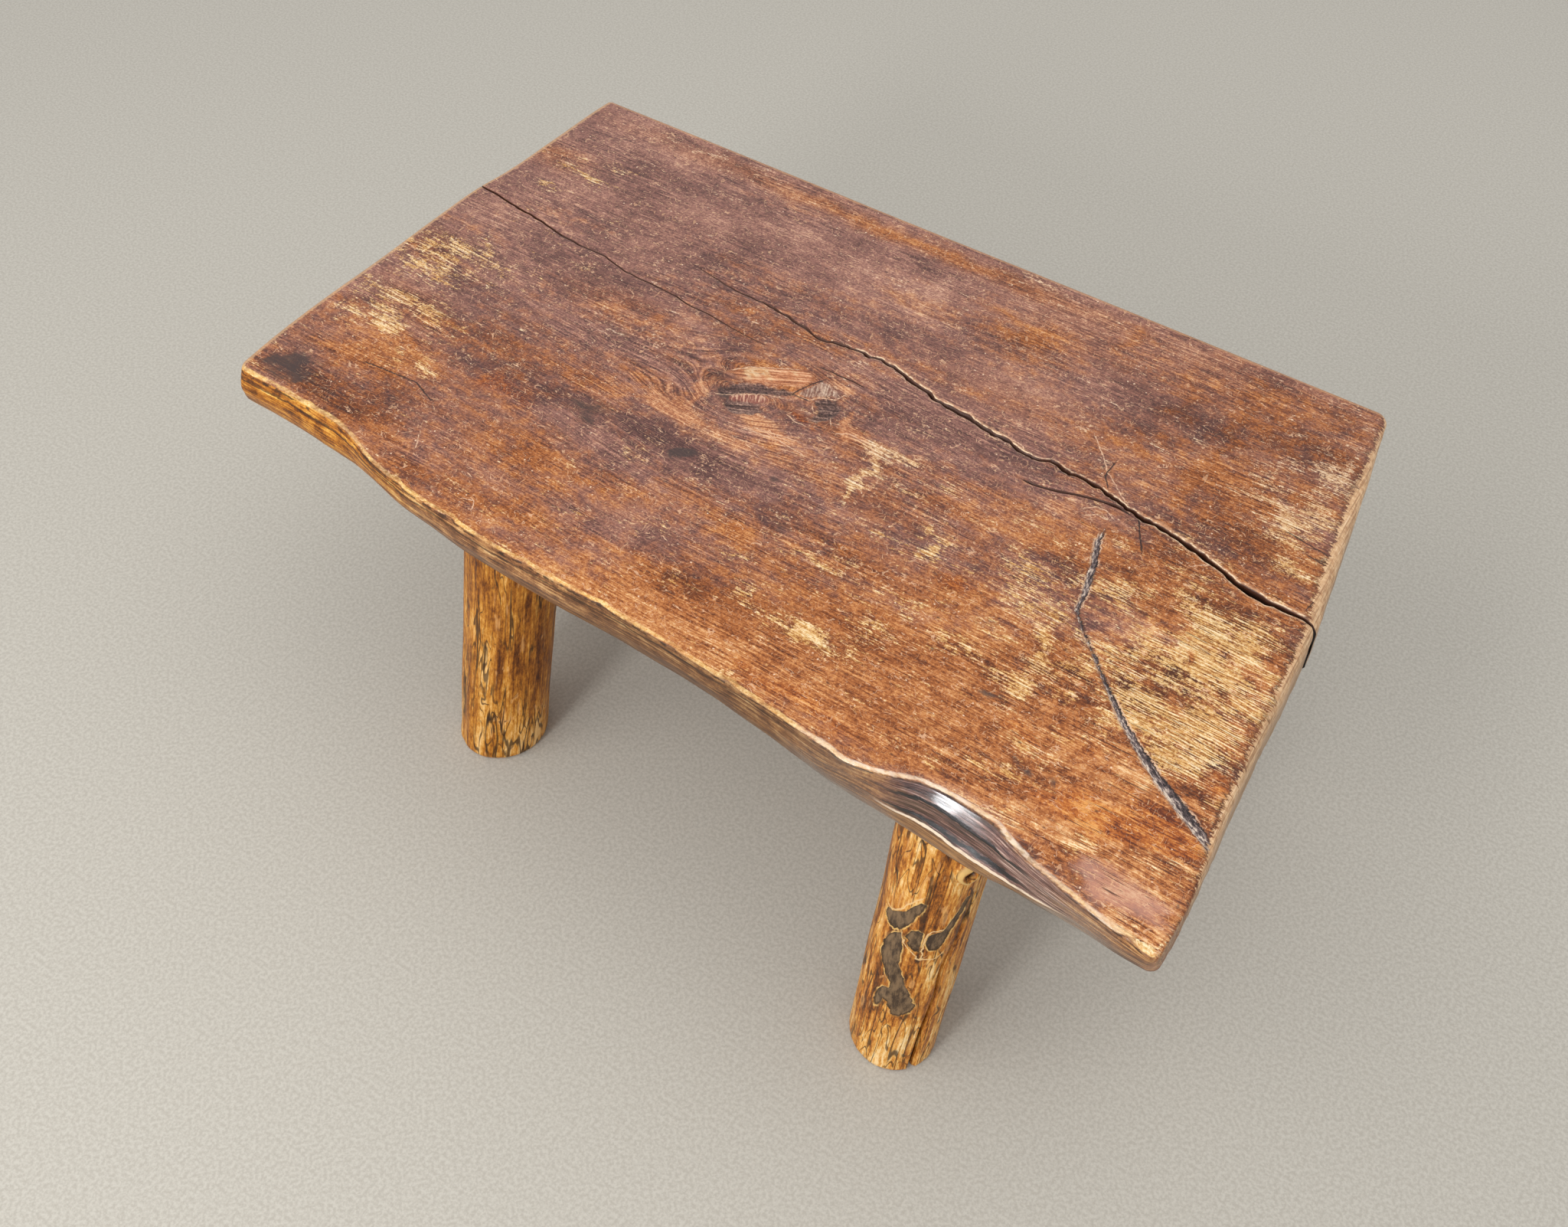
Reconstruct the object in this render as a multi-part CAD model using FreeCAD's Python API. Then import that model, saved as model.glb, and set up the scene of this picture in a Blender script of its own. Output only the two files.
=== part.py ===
import FreeCAD, Part
import math
import os
from collections import namedtuple

# Low table: one live-edged slab standing on four splayed, peeled log legs.
# Millimetres, Z up. The slab is drawn from its back left corner, with X along
# the sawn back edge and the front of the table towards -Y. At the end the whole
# table is moved so that the floor point under its middle is the origin.

# Overall sizes
table_height = 440.0
slab_thickness = 60.0
back_edge_length = 1000.0
left_end_width = 612.0
right_end_width = 710.0
left_end_flare = 15.0
right_end_flare = 71.0

# Slab edges
front_wander = 32.0
right_end_wander = 19.0
left_end_wander = 14.0
fullest_depth = 20.0
arris_round = 2.5
corner_round = 10.0

# Splits and the bark seam in the slab
main_split_width = 7.5
left_split_width = 2.4
left_split_depth = 28.0
side_split_depth = 20.0
bark_seam_width = 8.0
bark_seam_depth = 3.0

# Joints between the legs and the slab
tenon_diameter = 46.0
tenon_length = 44.0
joint_clearance = 0.3
mortise_end_gap = 1.0
wedge_length = 30.0
wedge_head_thickness = 7.0
wedge_tip_thickness = 2.0
kerf_end_gap = 2.0

# Legs: place of each axis on the underside, and mean radii at foot and shoulder
front_left_along = 283.0
front_left_inset = 103.0
front_left_foot_radius = 51.5
front_left_top_radius = 52.0
front_right_along = 862.5
front_right_inset = 71.5
front_right_foot_radius = 47.0
front_right_top_radius = 49.5
rear_left_along = 225.0
rear_left_inset = 100.0
rear_left_foot_radius = 49.0
rear_left_top_radius = 52.0
rear_right_along = 835.0
rear_right_inset = 98.0
rear_right_foot_radius = 50.0
rear_right_top_radius = 53.5
foot_arris = 6.0
shoulder_arris = 4.0

# Drying check and knot stub on one leg
check_width = 3.5
check_depth = 14.0
knot_radius = 13.0
knot_reach = 9.0
knot_hole_radius = 4.5
knot_hole_depth = 12.0

# Every cut runs past the face that it opens by this much
overrun = 8.0

underside_height = table_height - slab_thickness
up = FreeCAD.Vector(0, 0, 1)

# Slab corners seen from above, in clockwise order from the back left
back_left = FreeCAD.Vector(0, 0, 0)
back_right = FreeCAD.Vector(back_edge_length, 0, 0)
front_right = FreeCAD.Vector(back_edge_length + right_end_flare, -right_end_width, 0)
front_left = FreeCAD.Vector(-left_end_flare, -left_end_width, 0)

# Each edge runs clockwise. Its rows say how far the top arris, the fullest part
# of the edge and the underside stand outside the straight line between the
# corners, at stations along that line, as shares of the edge's wander.
back_shares = ((0.0, 1.0), (0.0, 0.0), (0.0, 0.0), (0.0, 0.0))
right_shares = (
    (0.00, 0.10, 0.20, 0.29, 0.34, 0.44, 0.56, 0.71, 0.82, 0.91, 1.00),
    (0.03, 0.10, 0.15, 0.21, 0.26, 0.42, 0.29, 0.02, 0.02, 0.33, 0.05),
    (0.44, 0.59, 0.73, 0.81, 0.86, 0.93, 0.76, 0.47, 0.42, 0.45, 0.00),
    (0.66, 0.86, 1.04, 1.13, 1.18, 1.20, 1.01, 0.70, 0.62, 0.47, -0.05))
front_shares = (
    (0.00, 0.04, 0.09, 0.14, 0.18, 0.215, 0.27, 0.37, 0.50, 0.64, 0.73, 0.80, 0.87, 0.93, 1.00),
    (0.00, -0.20, -0.36, -0.73, -0.92, -0.75, -0.03, 0.00, 0.11, 0.47, 0.57, 0.43, -0.05, -0.15, 0.0),
    (-0.10, -0.12, -0.15, -0.15, -0.17, -0.16, 0.06, 0.12, 0.24, 0.63, 0.72, 0.58, 0.31, 0.34, 0.50),
    (-0.70, -0.62, -0.53, -0.42, -0.38, -0.33, -0.24, -0.28, -0.21, 0.13, 0.18, -0.05, -0.31, -0.29, -0.10))
left_shares = (
    (0.00, 0.20, 0.50, 0.80, 1.00),
    (0.30, 0.90, 1.00, 0.58, 0.36),
    (0.33, 0.90, 1.00, 0.60, 0.38),
    (0.30, 0.85, 0.95, 0.55, 0.30))
edges = (
    (back_left, back_right, back_shares, front_wander),
    (back_right, front_right, right_shares, right_end_wander),
    (front_right, front_left, front_shares, front_wander),
    (front_left, back_left, left_shares, left_end_wander))
# Depths of the sections between the arrises, as shares of the slab thickness
wall_depth_shares = (0.14, 0.28, 0.45, 0.65, 0.83)
# How blunt the corner at the start of each edge is, as a share of the corner round
corner_blunt_shares = (1.0, 0.9, 1.5, 1.0)

# Splits and the seam seen from above: place along the back edge, place across
# the right end and width at that place, all as shares
main_split_shares = (
    (0.500, 0.322, 0.10), (0.537, 0.322, 0.22), (0.562, 0.334, 0.25), (0.605, 0.348, 0.32),
    (0.640, 0.355, 0.30), (0.688, 0.364, 0.36), (0.728, 0.374, 0.30), (0.752, 0.370, 0.28),
    (0.800, 0.375, 0.35), (0.846, 0.396, 0.60), (0.900, 0.407, 0.85), (0.935, 0.419, 0.80),
    (0.975, 0.435, 0.95), (1.010, 0.442, 1.00), (1.036, 0.445, 0.90), (1.060, 0.452, 0.85))
side_split_shares = (
    (0.747, 0.423, 0.10), (0.780, 0.408, 0.22), (0.815, 0.397, 0.30), (0.856, 0.397, 0.30))
left_split_shares = (
    (-0.034, 0.325, 1.00), (0.000, 0.327, 0.90), (0.040, 0.334, 1.00), (0.100, 0.351, 0.90),
    (0.150, 0.357, 0.70), (0.190, 0.359, 0.30))
bark_seam_shares = (
    (0.835, 0.452, 0.30), (0.838, 0.486, 0.75), (0.850, 0.535, 0.80), (0.856, 0.574, 0.50),
    (0.867, 0.610, 0.45), (0.900, 0.658, 0.60), (0.947, 0.718, 0.80), (0.985, 0.762, 0.60),
    (1.020, 0.800, 0.95), (1.056, 0.830, 0.90))
# Depth of the main split along the back edge, as shares of the slab thickness
main_split_depth_shares = ((0.48, 0.06), (0.60, 0.35), (0.75, 0.50), (0.83, 0.70), (0.90, 1.20))

# Unit log sections, as radii in equal steps round the leg, at foot and shoulder,
# and how far the log swells beyond its straight taper at heights up the leg
section_foot_shares = (1.00, 1.03, 1.02, 0.97, 0.96, 0.99, 1.02, 1.03, 0.99, 0.98)
section_top_shares = (1.03, 1.00, 0.96, 0.98, 1.03, 1.04, 0.99, 0.95, 0.98, 1.02)
swell_shares = ((0.30, 0.004), (0.60, -0.006), (0.84, 0.012))
# Each side of a log spans this many of the steps round it
points_per_side = 2
# The slab's worn arris: how far down and how far in its steps lie, as shares of its size
worn_arris_shares = ((0.0, 1.0), (0.3, 0.3), (1.0, 0.0))

# Each leg: the edge it is set out from, its place, radii, lean towards that edge
# and along it, and turn of its section, in degrees
Leg = namedtuple("Leg", "name start end along inset foot_radius top_radius lean_out lean_along turn")
legs = (
    Leg("front_left", front_left, front_right, front_left_along, front_left_inset,
        front_left_foot_radius, front_left_top_radius, 10.4, -1.3, 20.0),
    Leg("front_right", front_left, front_right, front_right_along, front_right_inset,
        front_right_foot_radius, front_right_top_radius, 9.0, 0.7, 95.0),
    Leg("rear_left", back_left, back_right, rear_left_along, rear_left_inset,
        rear_left_foot_radius, rear_left_top_radius, 8.5, -2.0, 160.0),
    Leg("rear_right", back_left, back_right, rear_right_along, rear_right_inset,
        rear_right_foot_radius, rear_right_top_radius, 8.5, 2.0, 250.0))

# The leg with the long drying check and the knot, and where they are on it: the
# headings and the knot's upward tilt in degrees, the heights as shares of the leg
knot_leg = "front_right"
check_heading = -18.0
check_rise_share = 0.7
knot_heading = -34.0
knot_tilt = 22.0
knot_rise_share = 0.88


def blend(low, high, share):
    return low + (high - low) * share


def edge_rows(shares, depth):
    """Outward shares of an edge at a depth, on a parabola through its three rows."""
    stations, top, full, under = shares
    middle = fullest_depth / slab_thickness
    place = depth / slab_thickness
    top_weight = (place - middle) * (place - 1) / middle
    full_weight = place * (1 - place) / (middle * (1 - middle))
    under_weight = place * (place - middle) / (1 - middle)
    return stations, [top_weight * a + full_weight * b + under_weight * c
                      for a, b, c in zip(top, full, under)]


def edge_course(edge, depth, pull_in):
    """Points of one edge at a depth, from corner to corner."""
    start, end, shares, wander = edge
    along = (end - start).normalize()
    outward = FreeCAD.Vector(-along.y, along.x, 0)
    stations, rows = edge_rows(shares, depth)
    return [start + (end - start) * s + outward * (row * wander - pull_in)
            for s, row in zip(stations, rows)], outward


def slab_section(depth, pull_in):
    """Closed wire of the slab's outline at a depth below the top face."""
    courses = [edge_course(edge, depth, pull_in) for edge in edges]
    corners = []
    for number, edge in enumerate(edges):
        before, before_out = courses[number - 1]
        after, after_out = courses[number]
        corner = edge[0] + before_out * (before[-1] - edge[0]).dot(before_out)
        corners.append(corner + after_out * (after[0] - edge[0]).dot(after_out))
    pieces = []
    for number, (points, outward) in enumerate(courses):
        corner = corners[number]
        following = (number + 1) % len(courses)
        next_corner = corners[following]
        run = (next_corner - corner).normalize()
        first = corner + run * corner_round * corner_blunt_shares[number]
        last = next_corner - run * corner_round * corner_blunt_shares[following]
        previous_run = (corner - corners[number - 1]).normalize()
        turn_in = corner - previous_run * corner_round * corner_blunt_shares[number]
        bend = Part.BezierCurve()
        bend.setPoles([turn_in, corner, first])
        pieces.append(bend.toShape())
        inner = points[1:-1]
        if inner:
            curve = Part.BSplineCurve()
            curve.interpolate([first] + inner + [last], Parameters=list(edges[number][2][0]))
            pieces.append(curve.toShape())
        else:
            pieces.append(Part.makeLine(first, last))
    wire = Part.Wire(pieces)
    wire.translate(up * (table_height - depth))
    return wire


def slab_blank():
    """The slab without its splits and mortises, lofted from the top face down."""
    levels = [(along * arris_round, back * arris_round) for along, back in worn_arris_shares]
    levels += [(depth * slab_thickness, 0.0) for depth in wall_depth_shares]
    levels += [(slab_thickness - along * arris_round, back * arris_round)
               for along, back in reversed(worn_arris_shares)]
    sections = [slab_section(depth, pull_in) for depth, pull_in in levels]
    return Part.makeLoft(sections, True, True)


def plan_point(share_x, share_y):
    return FreeCAD.Vector(share_x * back_edge_length, -share_y * right_end_width, 0)


def plan_cutter(shares, width, depth):
    """Narrow upright cutter that follows a course across the top face."""
    places = [plan_point(row[0], row[1]) for row in shares]
    left_bank = []
    right_bank = []
    for number, place in enumerate(places):
        before = places[max(number - 1, 0)]
        after = places[min(number + 1, len(places) - 1)]
        run = (after - before).normalize()
        aside = FreeCAD.Vector(-run.y, run.x, 0) * (shares[number][2] * width / 2)
        left_bank.append(place + aside)
        right_bank.insert(0, place - aside)
    outline = Part.makePolygon(left_bank + right_bank + [left_bank[0]])
    outline.translate(up * (table_height + overrun))
    return Part.Face(outline).extrude(up * -(depth + overrun))


def main_split():
    """The long split: shallow towards the middle, right through at the end."""
    blade = plan_cutter(main_split_shares, main_split_width, slab_thickness + overrun)
    floor = [FreeCAD.Vector(along * back_edge_length, 0, table_height - deep * slab_thickness)
             for along, deep in main_split_depth_shares]
    far = floor[-1].x + right_end_flare + back_edge_length
    near = floor[0].x
    above = table_height + overrun + overrun
    floor.append(FreeCAD.Vector(far, 0, floor[-1].z))
    floor.append(FreeCAD.Vector(far, 0, above))
    floor.append(FreeCAD.Vector(near, 0, above))
    side = Part.Face(Part.makePolygon(floor + [floor[0]]))
    return blade.common(side.extrude(FreeCAD.Vector(0, -right_end_width, 0)))


def leg_frame(leg):
    """Joint point on the underside and unit axis from foot to shoulder."""
    run = (leg.end - leg.start).normalize()
    to_edge = FreeCAD.Vector(run.y, -run.x, 0)
    if leg.start is back_left:
        to_edge = to_edge * -1
    joint = leg.start + run * leg.along - to_edge * leg.inset + up * underside_height
    lean = to_edge * math.tan(math.radians(leg.lean_out))
    lean = lean + run * math.tan(math.radians(leg.lean_along))
    return joint, (up - lean).normalize()


def log_section(centre, radius, turn, rise_share):
    """Closed irregular outline of the log at one height."""
    points = []
    count = len(section_foot_shares)
    for number in range(count):
        lobe = blend(section_foot_shares[number], section_top_shares[number], rise_share)
        angle = math.radians(turn) + 2 * math.pi * number / count
        reach = FreeCAD.Vector(math.cos(angle), math.sin(angle), 0) * (radius * lobe)
        points.append(centre + reach)
    curve = Part.BSplineCurve()
    curve.interpolate(points, PeriodicFlag=True, Parameters=[float(n) for n in range(count + 1)])
    return Part.Wire([curve.toShape(n, n + points_per_side) for n in range(0, count, points_per_side)])


def log_body(leg):
    """Peeled log between the floor and the underside, with its worn end arrises."""
    joint, axis = leg_frame(leg)
    foot_share = foot_arris / underside_height
    shoulder_share = 1 - shoulder_arris / underside_height
    rings = [(0.0, 0.0, foot_arris), (foot_share, 0.0, 0.0)]
    rings += [(rise, swell, 0.0) for rise, swell in swell_shares]
    rings += [(shoulder_share, 0.0, 0.0), (1.0, 0.0, shoulder_arris)]
    sections = []
    for rise, swell, pull_in in rings:
        centre = joint - axis * ((1 - rise) * underside_height / axis.z)
        radius = blend(leg.foot_radius, leg.top_radius, rise) * (1 + swell) - pull_in
        sections.append(log_section(centre, radius, leg.turn, rise))
    return Part.makeLoft(sections, True, True)


def wedge_blade(width, first, last):
    """Tapered blade in joint axes, between two distances below the mortise floor."""
    floor = tenon_length + mortise_end_gap
    taper = (wedge_head_thickness - wedge_tip_thickness) / wedge_length
    corners = []
    for distance, side in ((first, -1), (first, 1), (last, 1), (last, -1)):
        thickness = wedge_head_thickness - taper * distance
        corners.append(FreeCAD.Vector(side * thickness / 2, -width / 2, floor - distance))
    face = Part.Face(Part.makePolygon(corners + [corners[0]]))
    return face.extrude(FreeCAD.Vector(0, width, 0))


def set_in_joint(shape, leg):
    joint, axis = leg_frame(leg)
    shape.Placement = FreeCAD.Placement(joint, FreeCAD.Rotation(up, axis))
    return shape


def tenon(leg):
    """Round tenon with the kerf that its wedge spreads."""
    peg = Part.makeCylinder(tenon_diameter / 2, tenon_length + shoulder_arris + overrun,
                            up * -(shoulder_arris + overrun))
    kerf = wedge_blade(tenon_diameter + overrun, -overrun, wedge_length + kerf_end_gap)
    return set_in_joint(peg.cut(kerf), leg)


def mortise(leg):
    return set_in_joint(
        Part.makeCylinder(tenon_diameter / 2 + joint_clearance,
                          tenon_length + mortise_end_gap + overrun, up * -overrun), leg)


def wedge(leg):
    half_head = wedge_head_thickness / 2
    width = 2 * math.sqrt((tenon_diameter / 2) ** 2 - half_head ** 2)
    return set_in_joint(wedge_blade(width, 0, wedge_length), leg)


def drying_check(leg):
    """V-shaped split that runs up the log from its foot."""
    root = leg.foot_radius - check_depth
    reach = leg.foot_radius + check_depth
    half = (reach - root) * check_width / (2 * check_depth)
    corners = [FreeCAD.Vector(root, 0, 0), FreeCAD.Vector(reach, half, 0),
               FreeCAD.Vector(reach, -half, 0)]
    face = Part.Face(Part.makePolygon(corners + [corners[0]]))
    face.rotate(FreeCAD.Vector(0, 0, 0), up, check_heading)
    face.translate(up * -(underside_height + slab_thickness))
    rise = slab_thickness + underside_height * check_rise_share
    return set_in_joint(face.extrude(up * rise), leg)


def knot_stub(leg):
    """Stub of a cut branch and the hole that its rotten heart left."""
    joint, axis = leg_frame(leg)
    centre = joint - axis * ((1 - knot_rise_share) * underside_height / axis.z)
    tilt = math.radians(knot_tilt)
    heading = math.radians(knot_heading)
    out = FreeCAD.Vector(math.cos(heading) * math.cos(tilt), math.sin(heading) * math.cos(tilt),
                         math.sin(tilt))
    length = leg.top_radius + knot_reach
    stub = Part.makeCone(knot_radius + knot_reach, knot_radius, length, centre, out)
    hole = Part.makeCylinder(knot_hole_radius, knot_hole_depth + overrun,
                             centre + out * (length - knot_hole_depth), out)
    return stub, hole


def build_leg(leg):
    shape = log_body(leg)
    if leg.name == knot_leg:
        stub, hole = knot_stub(leg)
        shape = shape.cut(drying_check(leg)).fuse(stub).cut(hole)
    return shape.fuse(tenon(leg)).removeSplitter().Solids[0]


def build_slab():
    slab = slab_blank()
    for leg in legs:
        slab = slab.cut(mortise(leg))
    slab = slab.cut(main_split())
    slab = slab.cut(plan_cutter(side_split_shares, main_split_width, side_split_depth))
    slab = slab.cut(plan_cutter(left_split_shares, left_split_width, left_split_depth))
    return slab.cut(plan_cutter(bark_seam_shares, bark_seam_width, bark_seam_depth)).Solids[0]


def build():
    nodes = {"top_slab": build_slab()}
    for leg in legs:
        nodes["leg_" + leg.name] = build_leg(leg)
        nodes["wedge_" + leg.name] = wedge(leg)
    box = Part.makeCompound(list(nodes.values())).optimalBoundingBox()
    middle = FreeCAD.Vector(box.Center.x, box.Center.y, 0)
    os.makedirs("parts", exist_ok=True)
    for name, shape in nodes.items():
        shape.translate(middle * -1)
        shape.exportStep("parts/" + name + ".step")


build()
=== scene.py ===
import math

import bpy
import numpy as np
from mathutils import Matrix, Vector


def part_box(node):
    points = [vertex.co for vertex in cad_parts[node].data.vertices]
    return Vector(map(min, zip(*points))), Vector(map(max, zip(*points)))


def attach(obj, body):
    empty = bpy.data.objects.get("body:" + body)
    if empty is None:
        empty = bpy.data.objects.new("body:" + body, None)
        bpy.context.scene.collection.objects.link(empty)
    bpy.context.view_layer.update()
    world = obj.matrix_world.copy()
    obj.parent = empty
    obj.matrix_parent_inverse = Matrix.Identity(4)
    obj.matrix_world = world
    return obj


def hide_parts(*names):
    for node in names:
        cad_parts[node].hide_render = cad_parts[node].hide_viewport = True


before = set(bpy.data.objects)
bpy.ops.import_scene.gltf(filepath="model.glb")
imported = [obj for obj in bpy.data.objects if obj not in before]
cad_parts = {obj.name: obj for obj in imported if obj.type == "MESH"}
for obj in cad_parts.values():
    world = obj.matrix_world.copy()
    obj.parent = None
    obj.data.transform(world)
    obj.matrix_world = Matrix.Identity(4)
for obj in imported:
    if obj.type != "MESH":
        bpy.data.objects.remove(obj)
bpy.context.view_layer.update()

# The slab is drawn in millimetres from its back left corner: "along" its sawn back
# edge, "across" towards the front and "deep" below its top face.
MM = 0.001
table_height = 440.0
thickness = 60.0
slab_low, slab_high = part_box("top_slab")
past_left, past_back = 24.91, 1.27      # how far the slab reaches past that corner
corner_x = slab_low.x / MM + past_left
corner_y = slab_high.y / MM - past_back

# Edges of the slab in plan. Front: (along, across) of the top arris, the fullest part
# and the underside. Ends: (across, along). Back: (along, across).
front_top = (
    (-40, 614), (-15, 616), (20, 617.5), (50, 618), (78, 619), (112, 620.5), (132, 623), (150, 628),
    (180, 640), (220, 650), (270, 656), (350, 662), (450, 663), (550, 665), (600, 668), (640, 671),
    (700, 676), (740, 681), (765, 684), (785, 682), (800, 677.5), (815, 672), (830, 667), (850, 663.5),
    (880, 663.5), (910, 668), (930, 677), (950, 684), (967, 688), (1000, 695), (1030, 700), (1066, 706),
    (1100, 710))
front_full = (
    (-40, 626), (-18, 628), (50, 629), (100, 632), (150, 637), (180, 645), (220, 655), (270, 661),
    (350, 667), (450, 668), (550, 669), (640, 675), (700, 680), (750, 687), (800, 684.5), (850, 684),
    (900, 690), (950, 694), (1000, 699), (1050, 705), (1100, 708))
# Share of the way out from the brow to the fullest part, at depths in the hollow
hollow_steps = (
    (0, 0.0), (1.5, 0.06), (3, 0.15), (5, 0.24), (7, 0.33), (9, 0.42), (11, 0.51), (13, 0.6), (15, 0.645),
    (20, 0.68), (26, 0.71), (31, 0.82), (35, 1.0), (39, 1.06), (44, 1.0))
front_under = (
    (-40, 610), (44, 610), (97, 611), (150, 617.5), (202, 630), (255, 639.5), (308, 649), (360, 651),
    (466, 653), (571, 655), (677, 665.5), (730, 674), (782, 679), (835, 681), (888, 682.5), (993, 684.5),
    (1065, 688), (1100, 689))
right_top = (
    (-20, 1000), (0, 1001), (54, 1007), (103, 1014), (154, 1018), (199, 1024), (244, 1029), (284, 1036),
    (313, 1040.5), (400, 1045.5), (500, 1051), (580, 1058), (613, 1064), (646, 1069), (680, 1070),
    (720, 1069))
right_under = (
    (-20, 1011), (0, 1013), (71, 1023.5), (142, 1034), (206, 1041.5), (241, 1046), (312, 1053.5),
    (398, 1058.5), (504, 1063.5), (582, 1070), (646, 1072.5), (680, 1072.5), (720, 1072))
left_full = (
    (-20, -4), (20, -8), (100, -11), (200, -16), (235, -21), (300, -23), (400, -23), (500, -25),
    (560, -23.8), (612, -20), (640, -18))
back_full = ((-40, 0.6), (200, 0.2), (450, 1.0), (700, 0.3), (1000, 0.8), (1100, 0.6))

# Radius to which the front and right arrises are worn, by the place along them
front_wear = ((-20, 4), (150, 3), (400, 3), (700, 3.5), (800, 3), (860, 2), (950, 2.5), (1040, 6), (1075, 9))
right_wear = ((-20, 4), (30, 8), (150, 11), (600, 11), (680, 8), (720, 8))

# The two splits: (along, across) of their middles, (along, width) and (along, depth)
main_course = (
    (-60, 186), (100, 194), (200, 203), (280, 210), (340, 219), (380, 219), (410, 224), (430, 228),
    (450, 232), (470, 233), (490, 230), (510, 228), (530, 227), (545, 230), (560, 235), (580, 240),
    (600, 245), (620, 249), (640, 251), (660, 256), (690, 259), (705, 261), (712, 265), (735, 266),
    (745, 263), (752, 261), (765, 264), (790, 266), (805, 267), (820, 270), (835, 275), (846, 279),
    (870, 282), (900, 287), (925, 293), (950, 300), (965, 306), (985, 311), (1010, 313), (1035, 313),
    (1055, 317), (1100, 322))
main_width = (
    (-60, 0), (270, 0), (290, 1.0), (340, 2.0), (420, 3.2), (500, 3.8), (560, 4.3), (600, 4.9), (720, 5.3),
    (750, 4.3), (800, 4.7), (850, 5.3), (880, 5.4), (940, 5.8), (960, 6.6), (1010, 6.6), (1030, 4.4),
    (1045, 3.6), (1060, 4.4), (1100, 4.4))
main_depth = (
    (-60, 0), (270, 0.2), (340, 4), (480, 6), (600, 20), (750, 30), (830, 42), (900, 55), (1100, 58))
side_course = (
    (-60, 232), (-19, 232), (10, 234), (30, 238), (60, 241), (80, 244), (105, 249), (125, 252), (150, 254),
    (187, 255), (200, 259), (290, 266), (300, 268), (345, 271), (358, 273), (455, 276), (490, 273.5),
    (535, 273.5), (600, 279), (680, 290), (747, 300), (770, 296), (790, 289), (815, 283), (835, 281),
    (848, 284), (870, 290), (900, 299), (930, 310), (960, 322), (1000, 334), (1040, 346), (1100, 354))
side_width = (
    (-60, 2.6), (60, 2.4), (150, 2.2), (187, 2.0), (250, 1.8), (300, 1.6), (350, 1.2), (400, 0.7),
    (470, 0.4), (487, 1.0), (505, 1.4), (530, 1.2), (546, 0), (735, 0), (741, 2.2), (765, 3.0), (790, 3.4),
    (815, 3.6), (842, 3.2), (850, 0), (1100, 0))
side_depth = (
    (-60, 28), (100, 22), (180, 12), (300, 5), (535, 3), (545, 0.1), (735, 0.1), (745, 6), (815, 14),
    (842, 16), (851, 0.1), (1100, 0.1))

# Lines in the top face as (along, across). The bark seam's widths go by the share of
# its length, which is in millimetres.
seam_length = 380.0
seam = (
    (835, 314), (836, 333), (846, 362), (855.5, 402), (858.5, 423), (871, 438), (894, 461), (922.5, 489.5),
    (948, 514), (974, 534.5), (999, 552), (1025, 567), (1050, 581.5), (1066, 590.5))
seam_width = (
    (0.0, 1.5), (0.05, 5.5), (0.13, 6.5), (0.2, 6.0), (0.24, 5.0), (0.29, 4.0), (0.34, 2.6), (0.43, 2.6),
    (0.5, 4.0), (0.6, 5.2), (0.68, 6.5), (0.8, 9.5), (0.9, 11.0), (0.97, 9.5))
pale_lines = (
    ((770, 203), (787, 222), (803, 243), (835, 270)), ((945, 293), (925, 312)),
    ((417, 369.5), (429, 363.8), (441, 354.2), (450, 349)),
    ((694, 261), (700, 256), (715, 257), (719, 263)), ((498, 357), (506, 360), (515, 359)),
    ((550, 350), (562, 343), (586, 345)), ((416, 369), (428, 363), (440, 353), (454, 344), (474, 338)),
    ((485, 326), (500, 324), (508, 314), (523, 308), (526, 298)),
    ((409, 329), (420, 317), (443, 303), (464, 291)), ((640, 248), (655, 251), (664, 255)),
    ((508, 330), (513, 336)), ((533, 335), (538, 342)), ((806, 301), (815, 293), (826, 292), (834, 298)),
    ((812, 309), (820, 302), (830, 303)), ((470, 398), (505, 392), (540, 396)), ((478, 390), (520, 383)),
    ((204, 590), (214, 606)), ((300, 634), (310, 630), (316, 640)))
dark_lines = (
    ((495, 291), (490, 301), (486, 309), (483.5, 317), (480.5, 326), (499, 325.5)),
    ((857, 286), (867, 305), (877, 322)), ((803, 226), (803, 248), (812, 262)), ((1037, 285), (1036, 298)),
    ((85, 540), (150, 534), (180, 546)), ((985, 218), (1030, 226)), ((1012, 236), (1040, 241)))

# The old knot: its hollows, painted dark with their own wood and painted shade, the bare lens beside them, a
# pale facet and red ribs
knot_hollows = (
    ((481, 323), (464, 327), (447, 332), (431, 338), (420, 350), (413, 365), (420, 367), (430, 359),
     (441, 350), (455, 342), (470, 334), (481, 328)),
    ((429, 371), (440, 366), (453, 362), (463, 361), (469, 366), (463, 375), (453, 381), (441, 384),
     (432, 380)),
    ((503, 322), (512, 315), (523, 309), (533, 314), (535, 325), (531, 338), (525, 348), (516, 351),
     (517, 343), (521, 333), (511, 327)))
knot_lens = (
    (407, 332), (418, 318), (443, 303), (466, 289), (481, 287), (487, 298), (482, 312), (464, 321),
    (438, 334), (414, 336))
knot_facet = (
    (485, 322), (490, 309), (496, 293), (503, 291), (512, 296), (522, 297), (522, 304), (513, 308),
    (505, 315), (498, 321))
knot_ribs = ((430, 363), (441, 354), (456, 346), (468, 348), (457, 361), (442, 367), (430, 372))
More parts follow.
